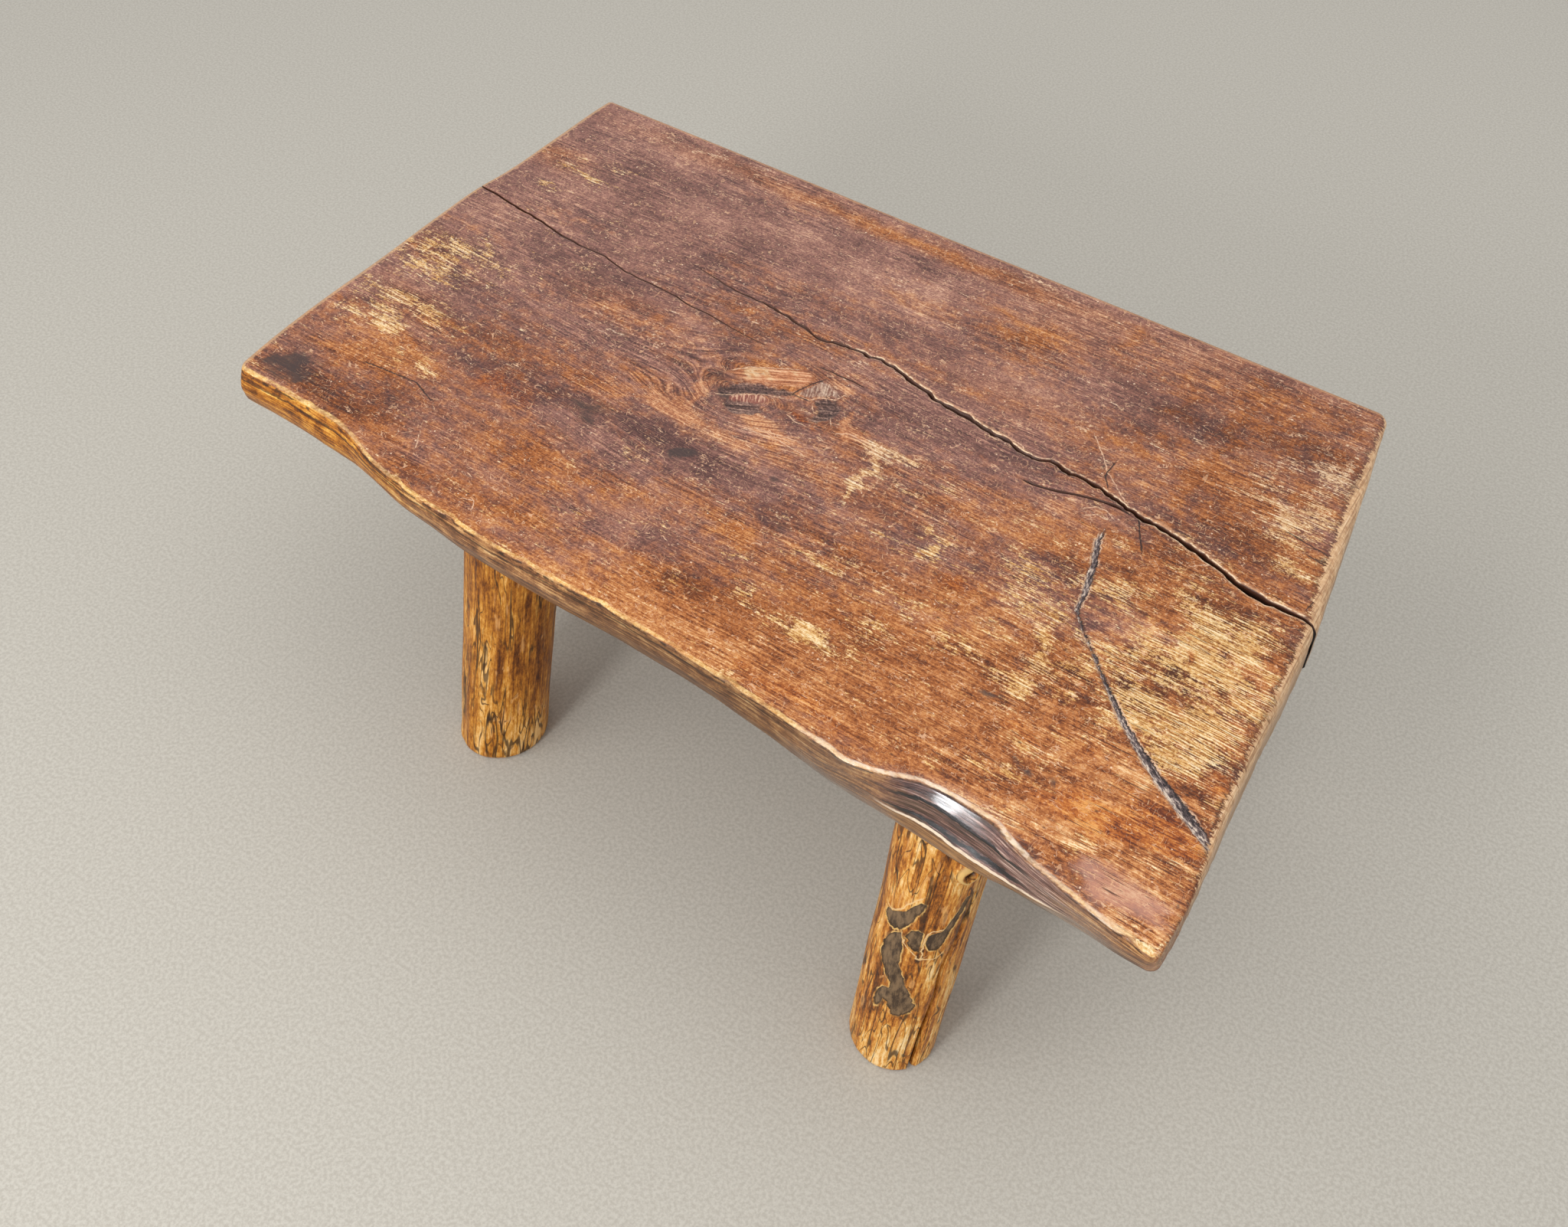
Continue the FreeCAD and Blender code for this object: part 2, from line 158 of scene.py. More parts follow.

# Soft marks on the top face: along, across, reach along, reach across, strength and,
# where it isn't 0, tilt in degrees. Umber is old dark varnish, honey bright varnish,
# scuff bare pale wood, soot blue-black staining, shade a darker tone, ember glowing
# orange, smooth a calm surface, rosy_and_sheen a pink haze that at the front right corner
# is a painted sheen, figure the rings round the knot, and lens and cream the bare wood
# beside it.
umber_marks = (
    (96, 606, 34, 12, 0.9), (10, 540, 14, 40, 0.6), (6, 470, 10, 30, 0.5), (484, 347, 22, 9, 0.9, -25),
    (402, 330, 10, 18, 0.9), (447, 280, 20, 6, 0.5), (820, 385, 22, 16, 0.7), (372, 266, 46, 22, 0.8),
    (300, 358, 45, 18, 0.8, 10), (392, 456, 120, 17, 0.9, 2), (532, 426, 34, 20, 0.8),
    (566, 495, 18, 14, 0.9), (285, 68, 75, 16, 0.8), (115, 85, 90, 14, 0.7), (145, 152, 45, 14, 0.6),
    (420, 72, 26, 10, 0.9), (490, 65, 16, 16, 0.9), (415, 180, 20, 12, 0.8), (520, 182, 22, 24, 0.6),
    (850, 120, 50, 22, 0.8), (130, 285, 40, 14, 0.6), (640, 285, 85, 20, 0.9, 4),
    (965, 272, 75, 13, 1.0, 6), (915, 20, 45, 12, 1.0), (300, 465, 90, 16, 0.8, 2),
    (300, 350, 70, 22, 0.6, 10), (60, 590, 60, 14, 0.9), (120, 600, 60, 16, 0.6), (575, 470, 40, 26, 0.7),
    (625, 415, 26, 22, 0.6), (160, 478, 18, 12, 0.5), (390, 515, 22, 18, 0.4), (830, 545, 22, 22, 0.7),
    (905, 610, 26, 10, 0.8), (1030, 505, 22, 12, 0.7), (1000, 640, 30, 12, 0.5),
    (940, 480, 24, 14, 0.6, -10), (790, 480, 40, 16, 0.4), (1015, 545, 20, 10, 0.7),
    (700, 330, 60, 14, 0.4), (880, 340, 24, 30, 0.5), (240, 500, 40, 30, 0.3), (80, 380, 40, 18, 0.4),
    (970, 100, 40, 60, 0.35), (20, 60, 60, 40, 0.4), (540, 600, 22, 26, 0.5), (730, 40, 60, 18, 0.4),
    (600, 370, 30, 20, 0.4))
honey_marks = (
    (500, 450, 130, 50, -0.5), (700, 440, 100, 50, -0.4), (600, 340, 120, 50, -0.3),
    (900, 60, 120, 80, 0.5), (700, 60, 120, 50, 0.2), (910, 200, 100, 60, 0.3), (400, 30, 260, 14, 0.8),
    (15, 130, 40, 20, 0.7), (650, 95, 36, 30, 0.6), (635, 86, 70, 5, 0.7), (880, 155, 8, 90, 0.7),
    (822, 105, 8, 45, 0.5), (740, 50, 9, 32, 0.6), (20, 348, 45, 24, 0.5), (60, 440, 50, 26, 0.7),
    (95, 510, 70, 30, 0.8), (60, 545, 70, 16, 0.7), (900, 560, 160, 60, 0.8), (1010, 590, 50, 30, 1.0),
    (720, 620, 180, 34, 0.8), (540, 620, 60, 26, 0.7), (370, 615, 40, 14, 0.7), (300, 560, 90, 40, 0.45),
    (250, 310, 60, 18, 0.6, 4), (450, 315, 40, 14, 1.0, 32), (380, 405, 40, 14, 0.6, -20),
    (470, 385, 40, 12, 0.6, -15), (980, 420, 70, 70, 0.6), (760, 450, 26, 24, 0.6), (640, 470, 30, 24, 0.4),
    (540, 515, 18, 14, 0.5), (430, 545, 40, 18, 0.4), (500, 30, 150, 12, 0.4), (700, 200, 120, 30, 0.3),
    (905, 200, 60, 40, 0.3), (560, 340, 30, 20, 0.5))
scuff_marks = (
    (860, 470, 130, 60, 0.22), (640, 510, 40, 4, 0.7), (700, 545, 50, 4, 0.6), (560, 545, 40, 4, 0.5),
    (800, 400, 24, 6, 0.7, -30), (770, 520, 50, 5, 0.6), (900, 470, 30, 5, 0.6), (650, 440, 26, 4, 0.5),
    (470, 560, 30, 4, 0.5), (560, 130, 30, 4, 0.5), (700, 130, 36, 5, 0.5), (820, 180, 30, 5, 0.5),
    (1000, 380, 50, 40, 0.7), (975, 420, 60, 40, 0.9), (1010, 480, 50, 26, 0.9), (960, 500, 60, 20, 0.6),
    (1000, 530, 40, 16, 0.8), (870, 375, 22, 16, 0.7), (820, 420, 30, 40, 0.5), (855, 480, 12, 40, 0.7),
    (870, 530, 50, 14, 0.5), (40, 345, 60, 30, 0.8), (20, 380, 50, 16, 0.9), (30, 440, 50, 24, 0.6),
    (100, 440, 50, 14, 0.7), (95, 520, 22, 18, 0.5), (140, 512, 34, 14, 0.6), (60, 110, 36, 22, 0.4),
    (40, 480, 60, 30, 0.35), (190, 470, 40, 14, 0.3), (60, 480, 50, 8, 0.7), (609, 343, 42, 7, 0.9),
    (603, 390, 7, 44, 1.3, -6), (640, 365, 22, 18, 0.5), (712, 436, 9, 28, 0.9, -25),
    (683, 407, 6, 18, 0.8), (390, 488, 5, 22, 0.5), (650, 588, 30, 7, 1.0, 6), (590, 580, 12, 10, 0.9),
    (770, 350, 30, 8, 0.6), (990, 200, 36, 40, 0.8), (1000, 120, 16, 60, 0.7), (1010, 260, 26, 14, 0.9),
    (940, 150, 30, 60, 0.3), (65, 143, 36, 5, 0.8), (35, 182, 18, 5, 0.8), (455, 420, 22, 8, 0.6),
    (620, 20, 90, 9, 0.4), (150, 25, 120, 8, 0.5), (905, 590, 30, 20, 0.5), (586, 345, 16, 7, 0.8),
    (514, 334, 4, 3, 0.7), (900, 330, 60, 18, 0.3), (945, 360, 30, 18, 0.6), (330, 640, 30, 6, 0.5),
    (220, 645, 16, 6, 0.6), (710, 500, 60, 6, 0.5), (690, 590, 60, 14, 0.4), (870, 620, 30, 8, 0.3))
soot_marks = (
    (433, 463, 17, 9, 0.9, 10), (385, 262, 26, 10, 0.5), (540, 442, 10, 8, 0.6), (350, 460, 30, 8, 0.5),
    (30, 582, 26, 15, 1.3, 4), (48, 601, 28, 9, 0.8), (8, 598, 14, 12, 0.7), (320, 470, 26, 8, 0.7),
    (435, 462, 18, 8, 1.0, 20), (433, 370, 16, 8, 0.9, -25), (525, 325, 9, 16, 0.7, 20),
    (410, 345, 10, 9, 0.6, -30), (830, 553, 14, 9, 0.8, 20), (803, 237, 5, 8, 1.0), (872, 40, 6, 4, 0.9),
    (895, 606, 8, 4, 0.8), (925, 607, 9, 4, 0.8), (905, 588, 8, 6, 0.7), (1012, 233, 14, 3, 0.8),
    (1067, 655, 4, 8, 0.8), (575, 492, 14, 10, 0.5), (170, 478, 8, 6, 0.6), (800, 485, 20, 5, 0.6),
    (270, 350, 30, 8, 0.4, 10), (620, 350, 14, 20, 0.35))
shade_marks = (
    (130, 370, 150, 80, 1.0), (90, 45, 120, 45, -1.2), (500, 80, 110, 70, -1.0), (910, 190, 110, 90, 0.8),
    (900, 300, 90, 40, 0.9), (900, 365, 110, 40, 0.7), (420, 460, 170, 40, 0.9), (960, 655, 120, 40, -2.1),
    (900, 560, 120, 40, -0.5), (600, 650, 150, 30, -0.6), (700, 450, 100, 45, -0.9),
    (900, 50, 120, 45, 1.2), (500, 165, 110, 50, -0.7), (300, 260, 110, 45, 0.7), (100, 560, 100, 35, 0.7),
    (700, 560, 110, 40, 0.4), (400, 50, 420, 45, -0.35), (700, 655, 300, 30, -0.5),
    (700, 160, 110, 45, 0.5), (100, 265, 110, 45, 0.5), (900, 465, 110, 40, 0.5), (870, 60, 120, 45, 0.4))
ember_marks = (
    (225, 492, 42, 20, 0.7), (757, 460, 24, 15, 0.7), (1010, 600, 48, 22, 1.3), (955, 622, 50, 18, 0.7),
    (1036, 530, 14, 20, 0.9), (880, 575, 24, 12, 0.6), (956, 413, 7, 13, 0.9), (1000, 345, 40, 8, 0.4),
    (700, 655, 90, 14, 0.6), (930, 560, 30, 14, 0.5), (540, 515, 14, 10, 0.5), (544, 320, 9, 20, 0.5),
    (507, 352, 8, 5, 0.9), (880, 520, 20, 12, 0.5))
smooth_marks = ((230, 520, 170, 90, 1.0), (450, 160, 260, 40, 0.7), (180, 200, 120, 40, 0.5))
# The first two are a painted sheen on the varnish at the front right corner, the last a pink tint.
rosy_and_sheen_marks = ((1024, 674, 44, 17, 1.3, 8), (1000, 655, 30, 10, 0.4, 8), (560, 500, 60, 40, 0.25))
figure_marks = (
    (370, 370, 120, 80, 1.2), (480, 410, 120, 40, 0.8), (600, 330, 80, 30, 0.5), (700, 330, 60, 30, 0.5))
lens_marks = (
    (522, 287, 14, 6, 0.9), (547, 326, 10, 18, 0.7), (560, 345, 22, 12, 0.7), (392, 413, 44, 20, 1.0, -10),
    (404, 372, 9, 24, 0.8, -20), (474, 382, 30, 14, 0.8, -10), (470, 418, 28, 10, 0.7),
    (500, 222, 16, 8, 0.4), (605, 340, 36, 7, 0.5), (292, 328, 10, 3, 0.8, 20), (343, 330, 4, 10, 0.8, 20),
    (225, 318, 30, 6, 0.5, 12), (520, 380, 40, 8, 0.5, 6), (795, 318, 26, 12, 0.7), (720, 410, 26, 16, 0.4))
cream_marks = (
    (424, 324, 12, 8, 1.1, -30), (436, 311, 22, 4.5, 1.1, -32), (462, 295, 22, 3.5, 0.7, -28),
    (430, 317, 12, 9, 0.7, -30))
chip_marks = ((1060, 703, 6, 4, 1.2), (1068, 696, 3, 5, 0.7), (1050, 702, 5, 2, 0.8))
# Chips of the front arris: along, reach and depth
front_chips = (
    (230, 12, 3.0), (305, 14, 3.5), (490, 16, 2.6), (640, 12, 2.6), (750, 14, 2.0), (80, 10, 1.6),
    (400, 9, 1.6), (575, 9, 1.4), (1045, 14, 3.0))


def curve(table, at):
    """Smooth curve through the points of a table, level beyond its ends."""
    xs, ys = np.array(table, float).T
    slopes = np.gradient(ys, xs)
    at = np.clip(at, xs[0], xs[-1])
    i = np.clip(np.searchsorted(xs, at) - 1, 0, len(xs) - 2)
    w = xs[i + 1] - xs[i]
    t = (at - xs[i]) / w
    return ((1 + 2 * t) * (1 - t) ** 2 * ys[i] + t * (1 - t) ** 2 * w * slopes[i]
            + t * t * (3 - 2 * t) * ys[i + 1] - t * t * (1 - t) * w * slopes[i + 1])


def straight(table, at):
    """Straight lines between the points of a table."""
    xs, ys = np.array(table, float).T
    return np.interp(at, xs, ys)


def ease(value, low, high):
    """Smooth step from 0 to 1 as the value goes from low to high."""
    t = np.clip((value - low) / (high - low), 0, 1)
    return t * t * (3 - 2 * t)


def hill(value, middle, reach):
    """Bell curve, 1 at the middle."""
    return np.exp(-((value - middle) / reach) ** 2)


def speckle(ix, iy, iz, seed):
    """Repeatable value from -1 to 1 for each whole-number place."""
    h = (ix * 374761393 + iy * 668265263 + iz * 1440662683 + seed * 1274126177) & 0xFFFFFFFF
    h = ((h ^ (h >> 13)) * 1274126177) & 0xFFFFFFFF
    h = ((h ^ (h >> 16)) * 2246822519) & 0xFFFFFFFF
    return ((h >> 8) & 0xFFFF) / 32767.5 - 1


def noise(x, y, z=0.0, seed=0):
    """Smooth repeatable noise from -1 to 1, with one bump to the unit."""
    x, y, z = np.broadcast_arrays(np.asarray(x, float), y, z)
    bx, by, bz = (np.floor(v).astype(np.int64) for v in (x, y, z))
    fx, fy, fz = x - bx, y - by, z - bz
    fx, fy, fz = (f * f * (3 - 2 * f) for f in (fx, fy, fz))
    total = 0
    for dx in (0, 1):
        for dy in (0, 1):
            for dz in (0, 1):
                weight = ((fx if dx else 1 - fx) * (fy if dy else 1 - fy) * (fz if dz else 1 - fz))
                total = total + weight * speckle(bx + dx, by + dy, bz + dz, seed)
    return total


def layered(x, y, z, seed, layers):
    """Noise with finer and weaker layers on top."""
    total, size = 0, 1.0
    for n in range(layers):
        k = 2.1 ** n
        total = total + size * noise(np.asarray(x) * k, np.asarray(y) * k, np.asarray(z) * k, seed + n)
        size *= 0.5
    return total


def beside(line, x, y):
    """Signed distance from a course, plain distance and share of the way along it."""
    best = np.full(np.shape(x), 1e9)
    side = np.ones(np.shape(x))
    share = np.zeros(np.shape(x))
    lengths = [math.dist(a, b) for a, b in zip(line, line[1:])]
    done = 0
    for (x0, y0), (x1, y1), length in zip(line, line[1:], lengths):
        t = np.clip(((x - x0) * (x1 - x0) + (y - y0) * (y1 - y0)) / length ** 2, 0, 1)
        d = np.hypot(x - x0 - t * (x1 - x0), y - y0 - t * (y1 - y0))
        nearer = d < best
        best = np.where(nearer, d, best)
        side = np.where(nearer, np.sign((x - x0) * (y1 - y0) - (y - y0) * (x1 - x0)), side)
        share = np.where(nearer, (done + t * length) / sum(lengths), share)
        done += length
    return side * best, best, share


def nearest_line(lines, x, y):
    """Signed distance from the nearest of several courses, and how near it is."""
    signed = np.full(np.shape(x), 9.0)
    best = np.full(np.shape(x), 1e9)
    for line in lines:
        s, d, _ = beside(line, x, y)
        signed = np.where(d < best, s, signed)
        best = np.minimum(best, d)
    return np.clip(signed, -9, 9), 1 - ease(best, 3.0, 6.5)


def groove_gap(x, y):
    """Distance from the edge of the nearest knot hollow, negative inside."""
    gap = np.min([inside_gap(outline, x, y) for outline in knot_hollows], 0)
    return np.clip(gap + 0.9 * noise(x / 5, y / 5, 0, 75), -9, 9)


def soft_marks(marks, x, y):
    """Sum of soft oval marks at each place."""
    total = 0
    for along, across, reach, spread, strength, *tilt in marks:
        turn = math.radians(sum(tilt))
        c, s = math.cos(turn), math.sin(turn)
        a = ((x - along) * c - (y - across) * s) / reach
        b = ((x - along) * s + (y - across) * c) / spread
        total = total + strength * np.exp(-(a * a + b * b))
    return total


def pull(deep, radius):
    """How far a round arris stands back at a depth."""
    left = np.clip(1 - deep / radius, 0, 1)
    return radius * (1 - np.sqrt(1 - left ** 2))


def foot_pull(deep):
    """The same for the round arris of the underside."""
    return pull(thickness - deep, 2.5)


def front_edge(along, deep):
    """Place across of the live front edge, at a place along and a depth."""
    # A curve from the top arris through the fullest part to the underside
    middle = 18.0 / thickness
    place = deep / thickness
    worn = curve(front_wear, along)
    top = (place - middle) * (place - 1) / middle
    full = place * (1 - place) / (middle * (1 - middle))
    under = place * (place - middle) / (1 - middle)
    across = (top * (curve(front_top, along) + worn) + full * curve(front_full, along)
              + under * curve(front_under, along))
    across = across - pull(deep, worn) - foot_pull(deep)
    hollow = ease(along, 790, 840) * (1 - ease(along, 935, 1000))
    brow_line = curve(front_top, along) + worn
    scooped = brow_line + (curve(front_full, along) - brow_line) * curve(hollow_steps, deep)
    scooped = scooped - pull(deep, worn)
    across = across + (scooped - across) * hollow * (1 - ease(deep, 38, 52))
    ridges = 0.55 * noise(along / 70, deep / 5.0, 0, 31) + 0.35 * noise(along / 26, deep / 2.6, 0, 32)
    billow = 1.1 * noise(along / 55, deep / 22, 0, 33)
    across = across + (ridges + billow) * ease(deep, 0.5, 8) * (1 - 0.85 * hollow * (1 - ease(deep, 14, 20)))
    for spot, reach, bite in front_chips:
        across = across - bite * hill(along, spot, reach * 0.6) * hill(deep, 0, 4.5)
    return across


def right_edge(across, deep):
    """Place along of the worn right end."""
    worn = curve(right_wear, across)
    turn = 0.72 * np.sqrt(1 - np.clip(1 - deep / worn, 0, 1) ** 2) + 0.28 * deep / thickness
    top = curve(right_top, across)
    along = top + (curve(right_under, across) - top) * turn - foot_pull(deep)
    rough = 0.5 * noise(across / 7, deep / 9, 0, 41) + 0.7 * noise(across / 30, deep / 25, 0, 42)
    step = 1.8 * ease(deep, 4, 12) * ease(across, 230, 300) * (1 - ease(across, 315.4, 317.6))
    return along + rough * ease(deep, 1, 12) + step


def left_edge(across, deep):
    """Place along of the left end."""
    rough = 0.35 * noise(across / 7, deep / 9, 0, 43) + 0.5 * noise(across / 34, deep / 30, 0, 44)
    return curve(left_full, across) + pull(deep, 3.0) + foot_pull(deep) + (0.5 + rough) * ease(deep, 1, 8)


def back_edge(along, deep):
    """Place across of the back edge."""
    saw = 0.25 * noise(along / 3.2, deep / 40, 0, 45) + 0.3 * noise(along / 40, deep / 30, 0, 46)
    return curve(back_full, along) + pull(deep, 2.5) + foot_pull(deep) + (0.4 + saw) * ease(deep, 1, 6)


def main_split(along):
    """Middle, half width and depth of the split that runs in from the right end."""
    jag = 2.0 * noise(along / 11, 0, 0, 51) + 0.9 * noise(along / 4.2, 0, 0, 52)
    jag = jag * ease(along, 270, 420) * (1 - 0.6 * ease(along, 850, 900))
    half = np.maximum(curve(main_width, along) / 2 * (1 + 0.4 * noise(along / 8, 0, 0, 53)), 0.04)
    return curve(main_course, along) + jag, half, np.maximum(curve(main_depth, along), 0.0)


def side_split(along):
    """The same for the split that comes and goes beside it."""
    jag = 0.6 * noise(along / 9, 0, 0, 54) * (1 - ease(along, 740, 820) * (1 - ease(along, 850, 900)))
    half = np.maximum(curve(side_width, along) / 2 * (1 + 0.2 * noise(along / 9, 0, 0, 55)), 0.04)
    return curve(side_course, along) + jag, half, np.maximum(curve(side_depth, along), 0.0)


def stations(count, dense):
    """Places from 0 to 1, closer together in the given spans."""
    fine = np.linspace(0, 1, 4001)
    weight = np.ones_like(fine)
    for low, high, more in dense:
        inside = ease(fine, low - 0.01, low + 0.01) * (1 - ease(fine, high - 0.01, high + 0.01))
        weight = weight + (more - 1) * inside
    total = np.concatenate([[0], np.cumsum((weight[1:] + weight[:-1]) / 2)])
    return np.interp(np.linspace(0, 1, count + 1), total / total[-1], fine)


# Rows of the slab's grid: zone (0 back, 1 between the splits, 2 front) and share in
# it, or a split (10 main, 11 side), how many half widths and how far beyond, and the
# share of its depth
split_rows = (
    (-1, -4.0, 0.0), (-1, -1.3, 0.0), (-1, -0.25, 0.0), (-0.9, 0.0, 0.06), (-0.5, 0.0, 0.55),
    (0.0, 0.0, 1.0), (0.5, 0.0, 0.55), (0.9, 0.0, 0.06), (1, 0.25, 0.0), (1, 1.3, 0.0), (1, 4.0, 0.0))
rows = [(0, s, 0, 0) for s in stations(50, ((0.0, 0.05, 1.8),))[:-1]]
rows += [(10,) + r for r in split_rows]
rows += [(1, s, 0, 0) for s in stations(11, ())[1:-1]]
rows += [(11,) + r for r in split_rows]
rows += [(2, s, 0, 0) for s in stations(108, ((0.02, 0.30, 1.5), (0.93, 1.0, 2.0)))[1:]]
rows = np.array(rows, float)
columns = stations(372, ((0.38, 0.53, 1.5), (0.72, 1.0, 1.6)))


def row_across(along, row, deep):
    """Place across of a row of the grid, which follows the edges and both splits."""
    kind, share, beyond, _ = (row[..., n] for n in range(4))
    a, a_half, _ = main_split(along)
    b, b_half, _ = side_split(along)
    squeeze = 1 - 0.92 * ease(along, 812, 838) * (1 - ease(along, 850, 905))
    support = 4.0 * squeeze
    zones = ((back_edge(along, deep), a - a_half - support), (a + a_half + support, b - b_half - support),
             (b + b_half + support, front_edge(along, deep)))
    result = 0
    for number, (low, high) in enumerate(zones):
        result = np.where(kind == number, low + (high - low) * share, result)
    result = np.where(kind == 10, a + share * a_half + beyond * squeeze, result)
    return np.where(kind == 11, b + share * b_half + beyond * squeeze, result)


corner_rounds = (("back", "left", 4.0), ("back", "right", 9.5), ("front", "left", 10.0),
                 ("front", "right", 10.0))


def place_on_slab(u, row, deep):
    """(along, across) of grid places at a depth, with the slab's corners rounded."""
    along = u * 1060 - 15      # a first guess, which the rounds below bring closer
    for _ in range(5):
        across = row_across(along, row, deep)
        low, high = left_edge(across, deep), right_edge(across, deep)
        along = low + u * (high - low)
    across = row_across(along, row, deep)
    back, front = back_edge(along, deep), front_edge(along, deep)
    sides = {"back": (across - back, 1), "front": (front - across, -1)}
    ends = {"left": (along - low, 1), "right": (high - along, -1)}
    for side, end, radius in corner_rounds:
        (across_gap, down), (along_gap, inward) = sides[side], ends[end]
        p = np.clip(1 - along_gap / radius, 0, 1)
        q = np.clip(1 - across_gap / radius, 0, 1)
        along = along + inward * radius * (p - p * np.sqrt(1 - q * q / 2))
        across = across + down * radius * (q - q * np.sqrt(1 - p * p / 2))
    return along, across


def grain_shift(x, y):
    """How far the grain lines are pushed across by the knot."""
    dx, dy = x - 436, y - 338
    push = -dy * 46 ** 2 / (dx ** 2 / 1.9 + dy ** 2 + 16 ** 2)
    second = np.exp(-((x - 370) / 45) ** 2 - ((y - 395) / 30) ** 2)
    push = push - 11 * np.tanh((y - 392) / 12) * second
    third = np.exp(-((x - 820) / 70) ** 2 - ((y - 300) / 30) ** 2)
    push = push - 10 * np.tanh((y - 300) / 14) * third
    return push + 7 * noise(x / 260, y / 120, 0, 61) + 2.5 * noise(x / 90, y / 50, 0, 62)


def top_relief(x, y):
    """Depth of the worn top below its highest plane, always positive."""
    relief = 0.55 + 0.35 * layered(x / 170, y / 110, 0, 71, 2) + 0.10 * noise(x / 40, y / 9, 0, 73)
    _, d, share = beside(seam, x, y)
    half = straight(seam_width, share) / 2 * (1 + 0.25 * noise(x / 9, y / 9, 0, 74))
    relief = relief + 2.0 * (1 - ease(d, half * 0.45, half + 0.9))
    relief = relief + 2.2 * (1 - ease(groove_gap(x, y), -1.5, 1.2))
    relief = relief + 0.9 * soft_marks(((450, 322, 38, 10, 0.6, 27),), x, y)
    _, d, _ = beside(pale_lines[0], x, y)
    relief = relief + 0.5 * (1 - ease(d, 0.6, 3))
    relief = relief + 1.8 * hill(x, 875, 55) * ease(y, 640, 668)
    relief = relief + 0.5 * ease(y, 600, 700) + 0.6 * ease(x, 1000, 1065)
    return np.maximum(relief, 0.0)


def coarse_steps(count, step):
    """Every so many places up to a count, which always ends the list."""
    steps = list(range(0, count, step))
    if count - steps[-1] < step / 2 and len(steps) > 1:
        steps.pop()
    return steps + [count]


def mesh_piece(name, points, faces, fields):
    """Smooth mesh object from points in metres, with its fields as attributes."""
    mesh = bpy.data.meshes.new(name)
    mesh.from_pydata(points.tolist(), [], faces)
    mesh.update()
    for field, values in fields.items():
        kind = "FLOAT_VECTOR" if values.ndim == 2 else "FLOAT"
        layer = mesh.attributes.new(field, kind, "POINT")
        layer.data.foreach_set("vector" if values.ndim == 2 else "value",
                               np.ascontiguousarray(values, np.float32).ravel())
    mesh.polygons.foreach_set("use_smooth", np.ones(len(mesh.polygons), bool))
    piece = bpy.data.objects.new(name, mesh)
    bpy.context.scene.collection.objects.link(piece)
    return piece


def round_trip(row0, row1, column0, column1):
    """Grid places round a patch of the grid, from its first corner on."""
    out = [(row0, c) for c in range(column0, column1)] + [(n, column1) for n in range(row0, row1)]
    home = [(row1, c) for c in range(column1, column0, -1)] + [(n, column0) for n in range(row1, row0, -1)]
    return out + home


def slab_fields(x, y, d, on_top):
    """What the slab's finish reads at each point of its mesh."""
    wobble = 10 * noise(x / 30, y / 22, 0, 81) + 5 * noise(x / 12, y / 10, 0, 82)
    mx, my = x + 1.6 * wobble, y + 0.6 * wobble
    wavy = {"umber": umber_marks, "honey": honey_marks, "scuff": scuff_marks, "soot": soot_marks,
            "shade": shade_marks, "ember": ember_marks, "smooth": smooth_marks, "rosy_and_sheen": rosy_and_sheen_marks,
            "lens": lens_marks}
    outlines = {"knot_lens": knot_lens, "knot_facet": knot_facet, "knot_ribs": knot_ribs}
    fields = {name: soft_marks(marks, mx, my) for name, marks in wavy.items()}
    fields.update({name: np.clip(inside_gap(outline, x, y), -9, 9) for name, outline in outlines.items()})
    for kind, lines in (("pale", pale_lines), ("dark", dark_lines)):
        fields[kind + "_line"], fields[kind + "_near"] = nearest_line(lines, x, y)
    seam_side, seam_gap, seam_run = beside(seam, x, y)
    seam_gap = seam_gap - straight(seam_width, seam_run) / 2
    front_gap, back_gap = front_edge(x, 0.0) - y, y - back_edge(x, 0.0)
    right_gap, left_gap = right_edge(y, 0.0) - x, x - left_edge(y, 0.0)
    nearest_end = np.minimum(right_gap, np.minimum(left_gap, back_gap))
    (a, a_half, _), (b, b_half, _) = main_split(x), side_split(x)
    a_beyond, b_beyond = np.abs(y - a) - a_half, np.abs(y - b) - b_half
    lip_far = ease(x, 440, 560) * (1 - 0.6 * ease(x, 715, 735) * (1 - ease(x, 800, 860)))
    lip_near = 0.35 * ease(x, 440, 480) + 0.65 * ease(x, 856, 872)
    fields.update({
        "cream": soft_marks(cream_marks, x, y), "figure": soft_marks(figure_marks, x, y),
        "corner_chip": soft_marks(chip_marks, x, y) * ease(7 - d, 0, 4),
        "seam": np.clip(seam_gap, -6, 9), "seam_side": np.clip(seam_side, -9, 9),
        "seam_run": seam_run * seam_length * MM, "groove": groove_gap(x, y),
        "split": np.minimum(a_beyond + 9 * (1 - ease(a_half, 0.1, 0.35)),
                            b_beyond + 9 * (1 - ease(b_half, 0.1, 0.3))),
        "lip": np.where(y < a, lip_far, lip_near) * (1 - ease(a_beyond, 1.5, 5.5)),
        "right_gap": np.clip(right_gap, -30, 80), "left_gap": np.clip(left_gap, -5, 60),
        "back_gap": np.clip(back_gap, -5, 60), "front_side": 1 - ease(front_gap, -4, 1.5),
        "front_rim": 1 - ease(front_gap - nearest_end, -3, 3),
        "brow": np.where(on_top, -np.clip(np.minimum(front_gap, nearest_end), 0, 60), d),
        "wall": np.where(on_top, 0.0, ease(d, 0.5, 6)), "flow": (y + grain_shift(x, y)) * MM,
        "board": np.stack([x, y, d], -1) * MM})
    return fields


